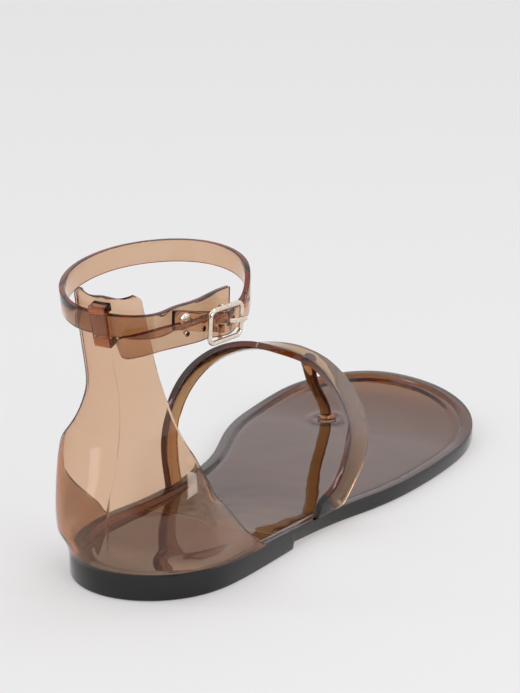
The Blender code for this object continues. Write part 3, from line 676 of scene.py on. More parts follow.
lowCorner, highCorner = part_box("sole")
outlineLeft = min(edgeX(-1, s) for s in soleStations())
outlineRight = max(edgeX(1, s) for s in soleStations())
middleShift = (lowCorner[0] + highCorner[0]) / 2 - (outlineLeft + outlineRight) / 2
heelShift = Vector((middleShift, lowCorner[1], 0.0))

soleMesh = meshOf("mouldedSole", soleParts())
solePiece = finishPiece("mouldedSole", soleMesh, finishes["smoke"], ["sole"])
print("sole:", len(solePiece.data.polygons), "faces, shift", [round(1000 * v, 3) for v in heelShift])

# Heel counter: a wall that follows level sections, with the mould seam and the keeper

counter = {
    "height": 0.1155,
    "heelWidth": 0.068,
    "wall": 0.0020,
    "overhang": 0.0006,
    "baseBlend": 0.008,
    "tabCorner": 0.0035,
    "tabDip": 0.0020,
    "tabDipFrom": 0.8,  # share of the height where the dip begins
    "cornerSteps": (12, 24, 36, 48, 60, 70, 79),  # degrees round the tab's corners
    "seat": -0.0002,  # sunk into the rim, because the two are fused there
    "seamRise": 0.00010,
    "seamWidth": 0.00022,
    "seamFade": (0.020, 0.012),  # at the base and at the tab's top
    "innerCut": 0.20,  # how much lower the inner side's front edge sweeps
    "innerCutAt": 0.33,
    "innerCutSpan": 0.10,
    "edgeBulge": 0.28,  # how far the rounded edge stands out, as a share of the wall
    "overlapShadeFrom": 58,  # degrees round from the heel to where painted shade darkens the cup's inner side
    "overlapShadeRun": 12,
    "rows": 130,
    "columns": 92,
    "innerWide": [
        # height, how much wider the inner side is
        (0.08, 1.00), (0.17, 1.00), (0.28, 0.96), (0.33, 0.98), (0.38, 1.03), (0.43, 1.08),
        (0.49, 1.04), (0.54, 1.02), (0.59, 0.99), (0.65, 0.98), (0.80, 1.00), (1.00, 1.00),
    ],
    "sections": [
        # height, back, wide, round, edge, tuck
        (0.087, -0.009, 0.500, 0.440, 0.794, 0.015),
        (0.173, -0.006, 0.503, 0.368, 0.615, 0.018),
        (0.277, 0.004, 0.492, 0.280, 0.436, 0.020),
        (0.329, 0.028, 0.478, 0.250, 0.331, 0.022),
        (0.381, 0.068, 0.456, 0.220, 0.225, 0.000),
        (0.433, 0.103, 0.434, 0.206, 0.154, 0.000),
        (0.485, 0.130, 0.432, 0.191, 0.098, 0.000),
        (0.537, 0.145, 0.368, 0.147, 0.074, 0.000),
        (0.589, 0.148, 0.324, 0.118, 0.059, 0.000),
        (0.641, 0.140, 0.284, 0.110, 0.058, 0.000),
        (0.727, 0.104, 0.258, 0.103, 0.052, 0.000),
        (0.866, 0.040, 0.245, 0.103, 0.050, 0.000),
        (1.000, -0.020, 0.238, 0.103, 0.048, 0.000),
    ],
}

counterSizes = smoothLine(
    [row[0] * counter["height"] for row in counter["sections"]],
    [[share * counter["heelWidth"] for share in row[1:]] for row in counter["sections"]],
)
counterBase = counter["sections"][0][0] * counter["height"]
innerWide = smoothLine([row[0] for row in counter["innerWide"]], [row[1] for row in counter["innerWide"]])


def counterBack(height):
    return float(counterSizes(height)[0])


def counterPoint(height, share):  # on the outer face: share runs from -1, the inner edge, to 1, the outer
    back, wide, roundDepth, edge, tuck = (float(v) for v in counterSizes(height))
    if share < 0:
        off = (height / counter["height"] - counter["innerCutAt"]) / counter["innerCutSpan"]
        edge *= 1 - counter["innerCut"] * math.exp(-off * off) * ease(-share / 0.5)
        wide *= float(innerWide(height / counter["height"]))
    blend = ease((height - counterBase) / counter["baseBlend"])
    corner = max(height - (counter["height"] - counter["tabCorner"]), 0.0)
    inset = counter["tabCorner"] - math.sqrt(max(counter["tabCorner"] ** 2 - corner**2, 0.0))
    arc = math.acos(1 - min(edge / roundDepth, 1.0)) * roundDepth
    reach = abs(share) * (arc + max(edge - roundDepth, 0.0))
    fullArc = math.pi / 2 * roundDepth
    if reach <= fullArc:
        angle = reach / roundDepth
        depth = roundDepth * (1 - math.cos(angle))
        half = wide * math.sin(angle)
    else:
        depth = roundDepth + reach - fullArc
        half = wide - tuck * ((depth - roundDepth) / (edge - roundDepth)) ** 2
    half *= 1 - inset / (wide * math.sin(min(arc / roundDepth, math.pi / 2)))
    side = 1 if share > 0 else -1
    grow = 1 + counter["overhang"] / (counter["heelWidth"] / 2)
    onSole = abs(edgeX(side, depth / grow / sole["length"])) * grow
    half = onSole + (half - onSole) * blend
    seat = topHeight((back + depth) / sole["length"]) + counter["seat"]
    lift = (seat - counterBase) * (1 - blend)
    high = max(height / counter["height"] - counter["tabDipFrom"], 0.0) / (1 - counter["tabDipFrom"])
    dip = -counter["tabDip"] * (1 - share * share) * high
    return Vector((side * half, back + depth, height + lift + dip))


def gridNormals(grid):
    down = np.gradient(grid, axis=0)
    along = np.gradient(grid, axis=1)
    normals = np.cross(along, down)
    return normals / np.linalg.norm(normals, axis=2)[:, :, None]


def wallParts(grid, raised, thick, edgeSteps=4):  # a wall under a grid; raised lifts the outer face only
    rows, columns = grid.shape[:2]
    normals = gridNormals(grid)
    if normals[rows // 2, columns // 2, 1] > 0:
        normals = -normals
    outer = grid + normals * raised[:, :, None]
    inner = grid - normals * thick
    points = [tuple(p) for p in outer.reshape(-1, 3)] + [tuple(p) for p in inner.reshape(-1, 3)]
    faces = []
    shift = rows * columns
    for r in range(rows - 1):
        for k in range(columns - 1):
            a = r * columns + k
            faces.append((a, a + 1, a + columns + 1, a + columns))
            faces.append((shift + a, shift + a + columns, shift + a + columns + 1, shift + a + 1))
    border = [(0, k) for k in range(columns)]
    border += [(r, columns - 1) for r in range(1, rows)]
    border += [(rows - 1, k) for k in range(columns - 2, -1, -1)]
    border += [(r, 0) for r in range(rows - 2, 0, -1)]
    loops = [[r * columns + k for r, k in border]]
    middle = (outer + inner) / 2
    for step in range(1, edgeSteps):
        angle = math.pi * step / edgeSteps
        loop = []
        for r, k in border:
            nearR = min(max(r, 1), rows - 2)
            nearK = min(max(k, 1), columns - 2)
            away = grid[r, k] - grid[nearR, nearK]
            away -= normals[r, k] * np.dot(away, normals[r, k])
            away /= np.linalg.norm(away)
            half = np.linalg.norm(outer[r, k] - inner[r, k]) / 2
            place = middle[r, k] + normals[r, k] * half * math.cos(angle)
            place = place + away * thick * counter["edgeBulge"] * math.sin(angle)
            loop.append(len(points))
            points.append(tuple(place))
        loops.append(loop)
    loops.append([shift + r * columns + k for r, k in border])
    for a, b in zip(loops[:-1], loops[1:]):
        for k in range(len(border)):
            n = (k + 1) % len(border)
            faces.append((a[k], b[k], b[n], a[n]))
    return points, faces


def counterParts():
    top = counter["height"]
    body = np.linspace(counterBase, top - counter["tabCorner"], counter["rows"])
    turns = [math.radians(step) for step in counter["cornerSteps"]]
    heights = list(body) + [top - counter["tabCorner"] * (1 - math.sin(turn)) for turn in turns]
    fine = [step * 0.003 for step in range(-6, 7)]  # close columns for the mould line
    wide = np.linspace(0.03, 1.0, counter["columns"] // 2)
    shares = [-s for s in wide[::-1]] + fine + list(wide)
    grid = np.array([[counterPoint(h, s) for s in shares] for h in heights], float)
    raised = np.zeros(grid.shape[:2])
    for r, height in enumerate(heights):
        for k in range(len(shares)):
            off = abs(grid[r, k, 0]) / counter["seamWidth"]
            fade = within(height, counterBase, counter["seamFade"][0], top, counter["seamFade"][1])
            raised[r, k] = counter["seamRise"] * math.exp(-off * off) * fade
    return wallParts(grid, raised, counter["wall"])


keeper = {
    "at": 0.1045,
    "width": 0.0068,
    "height": 0.0164,
    "plate": 0.0016,
    "play": 0.0006,
    "round": 0.00035,
    "reach": 0.004,  # the tab's slope is read this far above and below the keeper
    "layers": 0.35,  # how much painted shade darkens the keeper over the band inside
}

band = {
    "width": 0.0088,
    "thick": 0.0020,
    "round": 0.00032,
    "ringWidth": 0.0664,
    "ringLength": 0.0776,
    "ringOffset": -0.0010,
    "ringPitch": 0.105,
    "ringRoll": -0.030,
    "tipRound": 0.0026,
    "tipSteps": (0.9, 0.78, 0.64, 0.5, 0.36, 0.24, 0.14, 0.06, 0.02),
    "endRound": 0.0006,
    "startTaper": {0.0: (0.0011, 0.0006), 0.0002: (0.0004, 0.0002)},  # narrower and thinner at its start
    "holeDiameter": 0.0021,
    "holePitch": 0.0078,
    "holeCount": 6,
    "holeShift": 0.42,  # how far the row stands past the centre bar, as a share of the pitch
    "stations": 420,
    "gap": 0.0003,
    "layers": 0.45,  # how much painted shade darkens it where its second layer lies
    "shadeTurns": (-14, 6, 86, 8),  # where that painted shade lies, in degrees round the ring: start, its run, end, its run
    "tabShadeTurns": (-32, 3, 31, 3),  # the same for the part that lies on the tab
    "tabShadeReach": (1.05, 0.02),  # and how far out that part goes, as a share of the ring
    # along is a share of the frame's length from the centre bar, turn is in degrees
    # from the middle of the heel towards the outer side, out and rise are metres
    # from the levels that the code names, flare is how far the upper edge leans out
    "innerEnd": [
        # along, out, rise, flare
        (0.45, 0.0002, 0.0064, 0.0),
        (0.10, 0.0000, 0.0061, 0.0),
        (-0.50, -0.0005, 0.0048, 0.0),
        (-0.92, -0.0028, 0.0039, 2.0),
    ],
    "ring": [
        # turn, out, rise, flare
        (36.0, 0.0002, 0.0001, 3.0),
        (24.0, 0.0011, 0.0000, 5.0),
        (12.0, 0.0006, 0.0000, 8.0),
        (0.0, 0.0001, 0.0000, 9.0),
        (-14.0, 0.0004, 0.0000, 8.0),
        (-40.0, 0.0000, 0.0000, 4.0),
        (-80.0, 0.0000, 0.0000, 2.0),
        (-125.0, 0.0000, 0.0000, 0.0),
        (-175.0, 0.0000, 0.0000, 0.0),
        (-220.0, 0.0000, -0.0003, 0.0),
        (-244.0, 0.0000, -0.0028, 0.0),
    ],
    "buckled": [
        # along, out, rise, flare
        (0.62, -0.0006, 0.0010, 0.0),
        (0.42, -0.0001, 0.0004, 0.0),
        (0.00, 0.0000, 0.0000, 0.0),
        (-0.42, -0.0001, 0.0000, 0.0),
        (-0.60, 0.0000, 0.0000, 1.0),
        (-0.92, -0.0012, -0.0003, 2.0),
    ],
    "freeEnd": [
        # turn, out, rise, flare
        (36.0, 0.0006, -0.0046, 4.0),
        (25.0, 0.0015, -0.0058, 7.0),
        (13.0, 0.0013, -0.0075, 9.0),
    ],
}

buckle = {
    "turn": 80.0,
    "drop": 0.0060,
    "tilt": 6.5,
    "length": 0.0200,
    "height": 0.0140,
    "rod": 0.0018,
    "corner": 0.0034,
    "barRod": 0.0013,
    "barOut": -0.0022,
    "frameOut": 0.0009,
    "prongWidth": 0.0016,
    "prongThick": 0.0007,
    "prongRound": 0.00012,
    "prongBend": [(0.150, -0.0009), (0.215, 0.0003), (0.290, 0.0004)],  # share of the frame's length, out
    "prongFlat": 0.0022,  # its straight tip
    "prongPast": 0.0006,  # how far it reaches past the frame
    "slotAt": 0.18,  # middle of the strap's slot for the prong, as a share of the frame's length
    "slotReach": 0.0024,
    "slotPlay": 0.00048,
    "foldThick": 0.0009,
    "foldPlay": 0.00025,
    "foldTab": 0.0013,
    "foldWidth": 0.0072,
    "foldLength": 0.0215,
    "foldSlant": 0.20,
    "foldSteps": (0.16, 0.32, 0.5, 0.68, 0.84, 1.0),  # shares of its length
    "foldLift": 0.00042,  # above the strap's inner end
    "foldRound": 0.00022,
    "rivetAt": 0.78,  # share of the fold's length
    "rivetLift": 0.00048,
    "rivetDiameter": 0.0056,
    "rivetHeight": 0.0009,
    # radius and rise of the rivet's dome, as shares
    "rivetDome": [
        (0.96, 0.0), (1.0, 0.08), (1.0, 0.26), (0.97, 0.40), (0.90, 0.60),
        (0.78, 0.78), (0.60, 0.91), (0.40, 0.98), (0.18, 1.0),
    ],
}


def keeperFrame():  # its middle on the tab, then across, outward and up the tab
    below = keeper["at"] - keeper["reach"]
    above = keeper["at"] + keeper["reach"]
    low = Vector((0, counterBack(below), below))
    high = Vector((0, counterBack(above), above))
    up = (high - low).normalized()
    across = Vector((1, 0, 0))
    out = up.cross(across) * -1
    return (low + high) / 2, across, out, up


def keeperParts():  # the loop on the tab's back: a bent plate, open at both sides for the strap
    origin, across, out, up = keeperFrame()
    opening = band["thick"] + 2 * keeper["play"]
    slot = band["width"] / 2 + keeper["play"]
    tall = keeper["height"] / 2
    far = opening + keeper["plate"]
    root = -counter["wall"] / 2
    corner = keeper["plate"] * 0.5
    profile = [(root, tall)]
    for start in (90, 0):
        middle = tall - corner if start else corner - tall
        for k in range(6):
            angle = math.radians(start - 90 * k / 5)
            profile.append((far - corner + corner * math.cos(angle), middle + corner * math.sin(angle)))
    profile += [(root, -tall), (root, -slot), (opening, -slot), (opening, slot), (root, slot)]
    rings = []
    for side in (-1, 1):
        edge = origin + across * (side * keeper["width"] / 2)
        rings.append([edge + out * o + up * u for o, u in profile])
    return loftParts(rings)


def counterOverlapShade(place):  # painted shade: darker where the keeper lies over the band, and on the cup's inner side seen behind its back
    behind = counterBack(min(place.z, counter["height"])) - 0.0003
    beside = abs(place.x) < 0.6 * keeper["width"]
    if place.z > keeper["at"] - keeper["height"] and place.y < behind and beside:
        return keeper["layers"]
    turn = math.degrees(math.atan2(-place.x, counter["heelWidth"] / 2 - place.y))
    return ease((turn - counter["overlapShadeFrom"]) / counter["overlapShadeRun"])


wallMesh = meshOf("clearCounter", counterParts())
counterMesh = combined("clearCounter", wallMesh, [softened(keeperParts(), keeper["round"])], "UNION")
withOverlapShade(counterMesh, counterOverlapShade)
counterPiece = finishPiece(
    "clearCounter", counterMesh, finishes["counter"], ["heel_counter"]
)
print("counter:", len(counterPiece.data.polygons), "faces")

# Ankle strap: one band from its inner end, round the ankle, through the buckle, to its free end


def ringCentre():
    origin, across, out, up = keeperFrame()
    back = origin + out * (keeper["play"] + band["thick"] / 2)
    reach = (band["ringLength"] - band["thick"]) / 2
    return Vector((band["ringOffset"], back.y + reach, back.z + band["ringPitch"] * reach))


ringMiddle = ringCentre()
ringUp = Vector((-band["ringRoll"], -band["ringPitch"], 1)).normalized()


def ringPoint(turn, out, rise):
    halfX = (band["ringWidth"] - band["thick"]) / 2
    halfY = (band["ringLength"] - band["thick"]) / 2
    angle = math.radians(turn)
    outward = Vector((math.sin(angle) * halfY, -math.cos(angle) * halfX, 0)).normalized()
    x = ringMiddle.x + halfX * math.sin(angle) + outward.x * out
    y = ringMiddle.y - halfY * math.cos(angle) + outward.y * out
    z = ringMiddle.z + band["ringPitch"] * (y - ringMiddle.y) + band["ringRoll"] * (x - ringMiddle.x)
    return Vector((x, y, z)) + ringUp * rise


def buckleAxes():
    ahead = ringPoint(buckle["turn"] + 2, 0, 0)
    behind = ringPoint(buckle["turn"] - 2, 0, 0)
    level = (ahead - behind).normalized()
    outward = level.cross(ringUp).normalized()
    along = (level - ringUp * math.tan(math.radians(buckle["tilt"]))).normalized()
    along = (along - outward * along.dot(outward)).normalized()
    return ringPoint(buckle["turn"], 0, -buckle["drop"]), along, outward, outward.cross(along)


buckleOrigin, buckleRun, buckleOut, buckleUp = buckleAxes()


def bucklePoint(along, out, rise):
    return buckleOrigin + buckleRun * along + buckleOut * out + buckleUp * rise


foldReach = buckle["barRod"] / 2 + buckle["foldPlay"] + buckle["foldThick"]
bandClear = band["gap"] + band["thick"] / 2
innerLevel = buckle["barOut"] - foldReach - bandClear
overBar = buckle["barOut"] + foldReach + bandClear
underFrame = buckle["frameOut"] - buckle["rod"] / 2 - bandClear


def bandPath():
    rows = []
    for along, out, rise, flare in band["innerEnd"]:
        rows.append((bucklePoint(along * buckle["length"], innerLevel + out, rise), flare))
    for turn, out, rise, flare in band["ring"]:
        rows.append((ringPoint(turn, out, rise), flare))
    for along, out, rise, flare in band["buckled"]:
        level = overBar if along == 0 else underFrame
        rows.append((bucklePoint(along * buckle["length"], level + out, rise), flare))
    for turn, out, rise, flare in band["freeEnd"]:
        rows.append((ringPoint(turn, band["thick"] + out, rise), flare))
    lengths = [0.0]
    for a, b in zip(rows[:-1], rows[1:]):
        lengths.append(lengths[-1] + (b[0] - a[0]).length)
    return smoothLine(lengths, [[*point, flare] for point, flare in rows]), lengths


runStep = 0.0004  # a strap's direction is read this far ahead and behind
bandLine, bandLengths = bandPath()
bandEnd = bandLengths[-1]


def bandPlace(length):  # centre, across, outward and run
    centre = Vector(bandLine(length)[:3])
    run = (Vector(bandLine(length + runStep)[:3]) - Vector(bandLine(length - runStep)[:3])).normalized()
    up = (ringUp - run * ringUp.dot(run)).normalized()
    outward = run.cross(up)
    if outward.dot(centre - ringMiddle) < 0:
        outward = -outward
    lean = math.radians(float(bandLine(length)[3]))
    across = up * math.cos(lean) + outward * math.sin(lean)
    return centre, across, outward * math.cos(lean) - up * math.sin(lean), run


def ankleStrapParts():
    tip = band["tipRound"]
    end = band["endRound"]
    even = [bandEnd * i / band["stations"] for i in range(band["stations"] + 1)]
    lengths = [*band["startTaper"], end] + [l for l in even if end < l < bandEnd - tip * 0.98]
    lengths += [bandEnd - tip * step for step in band["tipSteps"]]
    rings = []
    for length in lengths:
        centre, across, outward, run = bandPlace(length)
        left = bandEnd - length
        narrow, thin = band["startTaper"].get(length, (0.0, 0.0))
        if left < tip:
            narrow = 2 * (tip - math.sqrt(tip**2 - (tip - left) ** 2))
        if left < end:
            thin = end * (1 - left / end)
        width = band["width"] - narrow
        thick = band["thick"] - thin
        rings.append(roundedSection(centre, across, outward, width, thick, band["round"]))
    return loftParts(rings)


def blockParts(place, low, high):  # two corners in a frame of origin, across, out and up
    origin, across, out, up = place
    rings = []
    for a in (low[0], high[0]):
        ring = []
        for o, u in ((low[1], low[2]), (high[1], low[2]), (high[1], high[2]), (low[1], high[2])):
            ring.append(origin + across * a + out * o + up * u)
        rings.append(ring)
    return loftParts(rings)


def pinParts(place, diameter, depth, sides=32):  # round, with its axis along the frame's outward
    origin, across, out, up = place
    rings = []
    for level in (-depth / 2, depth / 2):
        rings.append([origin + out * level + (across * c + up * s) * diameter / 2 for c, s in circle(sides)])
    return loftParts(rings)


def holeTree():  # punches a round hole at every point of a guide
    tree = bpy.data.node_groups.new("strapHoles", "GeometryNodeTree")
    face = tree.interface
    face.new_socket("Band", in_out="OUTPUT", socket_type="NodeSocketGeometry")
    for name, kind in (
        ("Band", "Geometry"), ("Guide", "Object"), ("Hole radius", "Float"), ("Hole depth", "Float"),
        ("Finish", "Material"),
    ):
        face.new_socket(name, in_out="INPUT", socket_type="NodeSocket" + kind)
    nodes = tree.nodes
    links = tree.links
    given = nodes.new("NodeGroupInput")
    result = nodes.new("NodeGroupOutput")
    guide = nodes.new("GeometryNodeObjectInfo")
    way = nodes.new("GeometryNodeInputNamedAttribute")
    way.data_type = "FLOAT_VECTOR"
    way.inputs["Name"].default_value = "outward"
    turn = nodes.new("FunctionNodeAlignRotationToVector")
    turn.axis = "Z"
    pin = nodes.new("GeometryNodeMeshCylinder")
    pin.inputs["Vertices"].default_value = 36
    spread = nodes.new("GeometryNodeInstanceOnPoints")
    real = nodes.new("GeometryNodeRealizeInstances")
    punch = nodes.new("GeometryNodeMeshBoolean")
    punch.operation = "DIFFERENCE"
    coat = nodes.new("GeometryNodeSetMaterial")
    links.new(given.outputs["Guide"], guide.inputs["Object"])
    links.new(given.outputs["Hole radius"], pin.inputs["Radius"])
    links.new(given.outputs["Hole depth"], pin.inputs["Depth"])
    links.new(way.outputs["Attribute"], turn.inputs["Vector"])
    links.new(guide.outputs["Geometry"], spread.inputs["Points"])
    links.new(pin.outputs["Mesh"], spread.inputs["Instance"])
    links.new(turn.outputs["Rotation"], spread.inputs["Rotation"])
    links.new(spread.outputs["Instances"], real.inputs["Geometry"])
    links.new(given.outputs["Band"], punch.inputs["Mesh 1"])
    links.new(real.outputs["Geometry"], punch.inputs["Mesh 2"])
    links.new(punch.outputs["Mesh"], coat.inputs["Geometry"])
    links.new(given.outputs["Finish"], coat.inputs["Material"])
    links.new(coat.outputs["Geometry"], result.inputs["Band"])
    return tree


def barDistance(length):
    return (Vector(bandLine(length)[:3]) - bucklePoint(0, 0, 0)).length


def ankleStrapMesh():
    nearBar = min(np.linspace(bandEnd * 0.6, bandEnd, 400), key=barDistance)
    corner = Vector((buckle["slotReach"], 2 * band["thick"], buckle["prongWidth"] / 2 + buckle["slotPlay"]))
    centre, across, outward, run = bandPlace(nearBar - buckle["slotAt"] * buckle["length"])
    slot = blockParts((centre, run, outward, across), -corner, corner)
    mesh = combined("ankleStrap", meshOf("ankleStrap", ankleStrapParts()), [slot], "DIFFERENCE")
    places = []
    ways = []
    for k in range(band["holeCount"]):
        length = nearBar + (k - band["holeCount"] // 2 + band["holeShift"]) * band["holePitch"]
        if length < bandEnd - band["width"] * 0.7:
            centre, across, outward, run = bandPlace(length)
            places.append(tuple(centre + heelShift))
            ways += list(outward)
    guideMesh = bpy.data.meshes.new("holeGuide")
    guideMesh.from_pydata(places, [], [])
    outwardWay = guideMesh.attributes.new("outward", "FLOAT_VECTOR", "POINT")
    outwardWay.data.foreach_set("vector", ways)
    guide = added("holeGuide", guideMesh)
    target = added("ankleStrap", mesh)
    step = target.modifiers.new("holes", "NODES")
    step.node_group = holeTree()
    sockets = {s.name: s.identifier for s in step.node_group.interface.items_tree if s.in_out == "INPUT"}
    step[sockets["Guide"]] = guide
    step[sockets["Hole radius"]] = band["holeDiameter"] / 2
    step[sockets["Hole depth"]] = 3 * band["thick"]
    step[sockets["Finish"]] = finishes["clear"]
    return baked(target, [guide])


def bandOverlapShade(place):  # painted shade: darker where two layers of the band lie beside the heel, and where one lies on the tab
    away = place - ringMiddle
    turn = math.degrees(math.atan2(away.x, -away.y))
    ringLayerShade = band["layers"] * within(turn, *band["shadeTurns"])
    reach = math.hypot(away.x / band["ringWidth"], away.y / band["ringLength"]) * 2
    far, fade = band["tabShadeReach"]
    tabShade = within(turn, *band["tabShadeTurns"]) * ease((far - reach) / fade)
    return max(ringLayerShade, tabShade)


strapMesh = withOverlapShade(ankleStrapMesh(), bandOverlapShade)
anklePiece = finishPiece("ankleStrap", strapMesh, finishes["clear"], ["ankle_strap"])
print("ankle strap:", len(anklePiece.data.polygons), "faces")

# Buckle: frame with its centre bar, prong, folded tab and rivet


def tubeParts(points, normal, radius, closed, sides=20):  # a round rod; the normal stands across it
    rings = []
    count = len(points)
    for i in range(count):
        ahead = points[(i + 1) % count] if closed or i < count - 1 else points[i]
        behind = points[i - 1] if closed or i > 0 else points[i]
        run = (ahead - behind).normalized()
        first = (normal - run * normal.dot(run)).normalized()
        second = run.cross(first)
        rings.append([points[i] + (first * c + second * s) * radius for c, s in circle(sides)])
    return loftParts(rings, closed)


def buckleFrameParts():
    halfL = (buckle["length"] - buckle["rod"]) / 2
    halfH = (buckle["height"] - buckle["rod"]) / 2
    corner = buckle["corner"] - buckle["rod"] / 2
    places = roundedCorners(halfL, halfH, corner, 12)
    points = [bucklePoint(along, buckle["frameOut"], rise) for along, rise in places]
    return tubeParts(points, buckleOut, buckle["rod"] / 2, True)


def centreBarParts():
    halfH = (buckle["height"] - buckle["rod"]) / 2
    bend = buckle["rod"] / 2
    low = buckle["barOut"]
    line = [(buckle["frameOut"], halfH), (low + bend, halfH)]
    for turn in (math.radians(step) for step in (20, 40, 60, 80)):
        line.append((low + bend - bend * math.sin(turn), halfH - bend + bend * math.cos(turn)))
    line += [(low, halfH - bend)]
    line += [(out, -rise) for out, rise in line[::-1]]
    points = [bucklePoint(0, out, rise) for out, rise in line]
    return tubeParts(points, buckleRun, buckle["barRod"] / 2, False)


def prismParts(outline, width, slant=0.0):  # an outline of along and out, drawn out across the band
    rings = []
    for rise in (-width / 2, width / 2):
        rings.append([bucklePoint(along, out, rise - slant * min(along, 0.0)) for along, out in outline])
    return loftParts(rings)


def ribbonOutline(line, thick):  # a strip's outline along its middle line
    line = np.asarray(line, float)
    run = np.gradient(line, axis=0)
    run /= np.linalg.norm(run, axis=1)[:, None]
    side = np.stack([-run[:, 1], run[:, 0]], axis=1) * thick / 2
    return [tuple(p) for p in line + side] + [tuple(p) for p in (line - side)[::-1]]


def roundBar(radius, start, step, count):  # places on a circle round the centre bar, in degrees
    turns = [math.radians(start + step * k) for k in range(count)]
    return [(radius * math.cos(turn), buckle["barOut"] + radius * math.sin(turn)) for turn in turns]


def prongParts():
    eye = (buckle["barRod"] + buckle["prongThick"]) / 2 + buckle["foldPlay"]
    line = roundBar(eye, -200, 27, 8)
    rest = buckle["frameOut"] + buckle["rod"] / 2 + band["gap"] + buckle["prongThick"] / 2
    reach = buckle["length"] / 2 + buckle["prongPast"]
    levels = (overBar, overBar, (overBar + rest) / 2)
    for level, (along, out) in zip(levels, buckle["prongBend"]):
        line.append((along * buckle["length"], level + out))
    line += [(reach - buckle["prongFlat"], rest), (reach, rest)]
    return prismParts(ribbonOutline(line, buckle["prongThick"]), buckle["prongWidth"])


def innerSurface(along):  # level of the inner end's outer face, measured from the buckle
    lengths = np.linspace(0.0, bandLengths[len(band["innerEnd"])] * 1.1, 200)
    places = [Vector(bandLine(l)[:3]) - buckleOrigin for l in lengths]
    k = min(range(199), key=lambda i: abs(places[i].dot(buckleRun) - along))
    step = places[k + 1] - places[k]
    slope = step.dot(buckleOut) / step.dot(buckleRun)
    return places[k].dot(buckleOut) + band["thick"] / 2 * math.hypot(1.0, slope)


def foldUnderside(share):
    along = -buckle["foldLength"] * share
    return along, innerSurface(along) + buckle["foldLift"]


def foldMesh():
    hole = buckle["barRod"] / 2 + buckle["foldPlay"]
    outer = hole + buckle["foldThick"]
    outline = roundBar(outer, -96, 232 / 30, 31)
    under = [foldUnderside(share) for share in buckle["foldSteps"]]
    outline += [(along, out + buckle["foldTab"]) for along, out in under] + under[::-1]
    solid = prismParts(outline, buckle["foldWidth"], buckle["foldSlant"])
    place = buckleOrigin + buckleOut * buckle["barOut"]
    barRoom = pinParts((place, buckleRun, buckleUp, buckleOut), 2 * hole, 2 * buckle["foldWidth"])
    half = buckle["prongWidth"] / 2 + band["gap"]
    low = (-1.2 * outer, -2 * outer, -half)
    prongRoom = blockParts((place, buckleRun, buckleOut, buckleUp), low, (2 * outer, 2 * outer, half))
    base = meshOf("fold", softened(solid, buckle["foldRound"], 50))
    return combined("fold", base, [barRoom, prongRoom], "DIFFERENCE")


def rivetParts():
    lift = buckle["foldTab"] + buckle["rivetLift"]
    along, low = foldUnderside(buckle["rivetAt"])
    further, lower = foldUnderside(buckle["rivetAt"] + 0.04)
    rise = -buckle["foldSlant"] * along
    place = bucklePoint(along, low + lift, rise)
    slope = (place - bucklePoint(further, lower + lift, rise)).normalized()
    axis = slope.cross(buckleUp).normalized()
    side = buckleUp.cross(axis).normalized()
    rings = []
    for share, rise in buckle["rivetDome"]:
        middle = place + axis * buckle["rivetHeight"] * rise
        radius = buckle["rivetDiameter"] / 2 * share
        rings.append([middle + (side * c + buckleUp * s) * radius for c, s in circle(40)])
    return loftParts(rings)


framePiece = joinedPiece(
    "buckleFrame", buckleFrameParts(), [centreBarParts()], finishes["gold"], ["buckle_frame"]
)
prongMesh = meshOf("buckleProng", softened(prongParts(), buckle["prongRound"], 60))
finishPiece("buckleProng", prongMesh, finishes["gold"], ["buckle_prong"])
finishPiece("buckleFold", foldMesh(), finishes["clear"], ["buckle_fold"])
finishPiece("rivetHead", meshOf("rivetHead", rivetParts()), finishes["gold"], ["rivet"])
print("buckle:", len(framePiece.data.polygons), "faces in its frame")

# Toe strap with its post, moulded as one

toeStrap = {
    "width": 0.0100,
    "thick": 0.0028,
    "round": 0.0004,
    "instep": 0.047,
    "footFlare": 1.55,
    "flareReach": 0.012,
    "landing": 0.382,
    "sunk": 0.0003,  # its feet are fused with the sole
    "stations": 150,
    "path": [
        # side, along, rise, face
        (0.405, 0.405, 0.300, 8.0),
        (0.415, 0.434, 0.468, 19.0),
        (0.388, 0.476, 0.583, 36.0),
        (0.327, 0.525, 0.647, 52.0),
        (0.242, 0.576, 0.696, 61.0),
        (0.142, 0.625, 0.743, 67.0),
        (0.035, 0.666, 0.796, 70.0),
        (-0.069, 0.692, 0.847, 73.0),
        (-0.168, 0.697, 0.894, 80.0),
        (-0.253, 0.681, 0.936, 94.0),
        (-0.320, 0.646, 0.977, 112.0),
        (-0.360, 0.599, 0.996, 132.0),
        (-0.377, 0.546, 0.977, 152.0),
        (-0.377, 0.493, 0.915, 168.0),
        (-0.365, 0.444, 0.798, 177.0),
        (-0.344, 0.402, 0.560, 180.0),
    ],
}

post = {
    "width": 0.0050,
    "thick": 0.0040,
    "foot": 0.0080,
    "seat": 0.0001,  # above the footbed
    "headAside": 0.004,  # where it leaves the strap, outward of its foot
    "headSunk": 0.0002,
    "steps": (0.0, 0.35, 0.8, 1.0),  # shares of its length at the four points of its line
    "bowAt": 0.42,  # share of the way down at which it bows
    "bow": (0.0, -0.003, 0.004),
    "aboveFoot": (-0.0025, 0.006),  # its third point, along and up from the foot
    "headSwell": (0.5, 0.4),  # how much wider it starts, and down to what share of its length
    "headStart": (0.25, 0.09),  # its size inside the strap, and the share at which it is full
    "upright": (0.75, 0.18),  # share at which it turns to stand upright, and the run of that turn
    "tallShare": 0.93,  # the round foot takes up the rest
    # radius as a share of the foot's, and rise above the footbed
    "footRings": [
        (0.66, 0.0016), (0.74, 0.0011), (0.90, 0.00085), (0.98, 0.0006), (1.0, 0.0003), (0.97, 0.0),
    ],
}


